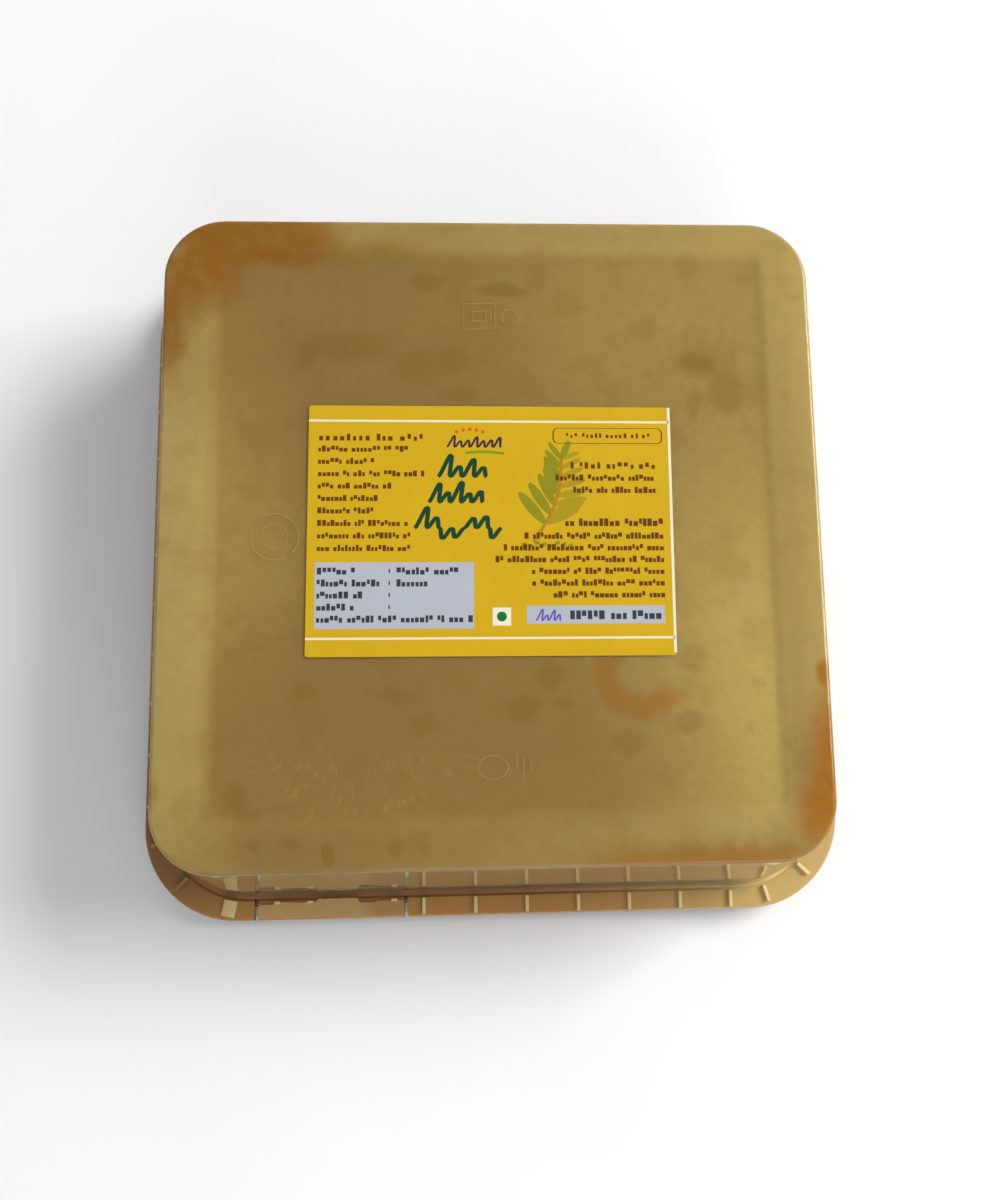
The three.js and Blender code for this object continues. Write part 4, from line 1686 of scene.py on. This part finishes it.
    def frame_line(self, x: float, y: float, width: float, depth: float, corner: float) -> list[Vector]:
        """The outline of a rounded box, as a path.

        Args:
            x: Its left edge.
            y: Its top edge.
            width: Its width.
            depth: Its depth.
            corner: The radius of its corners.

        Returns:
            The path's points, with the first one again at the end.
        """
        points = []
        for quarter, (far_x, far_y) in enumerate(((1, 0), (0, 0), (0, 1), (1, 1))):
            middle = Vector((x + corner + far_x * (width - 2 * corner),
                             y + corner + far_y * (depth - 2 * corner)))
            for i in range(5):
                angle = (quarter + i / 4) * math.pi / 2
                points.append(middle + corner * Vector((math.cos(angle), -math.sin(angle))))
        return points + points[:1]

    def text(self) -> None:
        """Builds the blocks of greeked text."""
        facts = bmesh.new()
        self.greek(facts, TextLine(1.9, 6.0, 18.9, 1.3, spaced=True))
        for row, length in enumerate(self.FACTS_LENGTHS):
            self.greek(facts, TextLine(1.8, 8.2 + row * self.FACTS_PITCH, length, 1.1))
        self.layer("label_facts_text", facts, Ink.BROWN)
        maker = bmesh.new()
        for line in self.MAKER_HEADS:
            self.greek(maker, line, 2)
        for row, length in enumerate(self.MAKER_LENGTHS):
            self.greek(maker, TextLine(64.2, 24.4 + row * self.MAKER_PITCH, length, 1.15, Side.RIGHT), 2)
        self.greek(maker, TextLine(46.8, 5.5, 15.4, 0.9, spaced=True))
        self.stroke(maker, self.frame_line(44.4, 4.1, 20.0, 2.9, 0.9), 0.2)
        self.layer("label_maker_text", maker, Ink.BROWN)

    def fields(self) -> None:
        """Builds the white rules, the pale panels and the marks on them."""
        white = bmesh.new()
        for place in ((0.0, 2.7, self.width - 0.3, 0.4), (0.0, 42.95, self.width - 0.3, 0.4),
                      (self.width - 0.55, 0.1, 0.5, self.depth - 0.6), (33.1, 37.6, 3.3, 3.3)):
            self.slab(white, *place)
        self.layer("label_white_fields", white, Ink.WHITE)
        pale = bmesh.new()
        self.slab(pale, 1.5, 29.3, 28.3, 12.1)
        self.slab(pale, 39.2, 37.3, 24.9, 3.3)
        self.layer("label_pale_panels", pale, Ink.PALE)
        dark = bmesh.new()
        for row, (length, more) in enumerate(self.PANEL_ROWS):
            y = 30.9 + row * self.PANEL_PITCH
            self.greek(dark, TextLine(1.9, y, length, 1.25), 2)
            if more:
                self.greek(dark, TextLine(16.0, y, 10.4 - 5 * row, 1.3), 2)
            if row < len(self.PANEL_ROWS) - 1:
                self.slab(dark, 14.6, y - 0.35, 0.25, 0.7, 2)
        self.greek(dark, TextLine(47.0, 39.0, 15.9, 1.6), 2)
        stamp = bmesh.new()
        self.stroke(stamp, self.waves(40.9, 40.0, 4.4, self.STAMP_HEIGHTS), 0.3, 2)
        self.layer("label_stamp", stamp, Ink.VIOLET)
        dot = bmesh.new()
        self.leaf(dot, 33.85, 39.25, 1.8, 1.8, 0.0, 2.0)
        self.layer("label_dot", dot, Ink.DOT)
        self.layer("label_dark_text", dark, Ink.GREY)

    def build(self) -> None:
        """Builds the whole label."""
        self.sheet()
        self.fields()
        self.text()
        self.title()
        self.sprig()


# ---- the studio ---------------------------------------------------------------------


@dataclass(frozen=True)
class SoftBox:
    """An area light aimed at the tub."""

    name: str
    place: tuple[float, float, float]
    size: float
    power: float
    colour: Colour = (1.0, 1.0, 1.0)

    def build(self) -> None:
        """Hangs the light."""
        data = bpy.data.lights.new(self.name, "AREA")
        data.shape = "SQUARE"
        data.size = self.size
        data.energy = self.power
        data.color = self.colour
        lamp = bpy.data.objects.new(self.name, data)
        lamp.location = self.place
        lamp.rotation_euler = (-Vector(self.place)).to_track_quat("-Z", "Y").to_euler()
        bpy.context.scene.collection.objects.link(lamp)


@dataclass
class Studio:
    """A pale floor, soft light and the camera."""

    effects: Effects
    picture_width: int = 1000
    picture_height: int = 1200
    focal_pixels: float = 1200.0
    axis_pixel: tuple[float, float] = (550.8, 643.6)
    eye: tuple[float, float, float] = (-0.002782, -0.054621, 0.251577)
    turn: tuple[float, float, float] = (0.161026, -0.056037, -0.022160)
    sensor: float = 36.0
    floor_half: float = 1.5
    sky: Colour = (0.95, 0.97, 1.0)
    sky_strength: float = 0.45

    def floor(self) -> None:
        """Lays the floor."""
        bm = bmesh.new()
        bmesh.ops.create_grid(bm, x_segments=4, y_segments=4, size=self.floor_half)
        material, graph, shader, point = start_material("pale floor")
        clouds = self.effects.cloud.use(graph, point, Scale=0.01, Low=0.3, High=0.7)
        graph.feed(shader.inputs["Base Color"], graph.blend(clouds, (0.9, 0.9, 0.9), (0.87, 0.87, 0.87)))
        set_shader(shader, Roughness=0.85)
        make_object("floor", bm, [material])

    def light(self) -> None:
        """Hangs the lights and sets the sky."""
        SoftBox("key", (1.3, 0.5, 1.12), 0.9, 32.5, (1.0, 0.985, 0.96)).build()
        SoftBox("front", (0.3, -1.4, 0.8), 1.0, 7.0).build()
        world = bpy.data.worlds.new("studio sky")
        world.use_nodes = True
        sky = world.node_tree.nodes["Background"]
        sky.inputs["Color"].default_value = (*self.sky, 1.0)
        sky.inputs["Strength"].default_value = self.sky_strength
        bpy.context.scene.world = world

    def camera(self) -> None:
        """Places the camera."""
        data = bpy.data.cameras.new("camera")
        longest = max(self.picture_width, self.picture_height)
        data.sensor_width = self.sensor
        data.lens = self.focal_pixels / longest * self.sensor
        data.shift_x = (self.picture_width / 2 - self.axis_pixel[0]) / longest
        data.shift_y = (self.axis_pixel[1] - self.picture_height / 2) / longest
        camera = bpy.data.objects.new("camera", data)
        camera.location = self.eye
        camera.rotation_euler = Euler(self.turn)
        bpy.context.scene.collection.objects.link(camera)
        bpy.context.scene.camera = camera

    def build(self) -> None:
        """Sets up the whole studio."""
        self.floor()
        self.light()
        self.camera()
        bpy.context.scene.view_settings.view_transform = "Standard"


def main() -> None:
    """Builds every piece in order."""
    logging.basicConfig(level=logging.INFO, format="%(message)s")
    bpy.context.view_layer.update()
    effects = Effects()
    Studio(effects).build()
    tub = Tub(effects)
    tub.build()
    Lid(effects, tub).build()
    JaggeryBlock(effects, tub).build()
    Label(effects, tub).build()


if __name__ == "__main__":
    main()
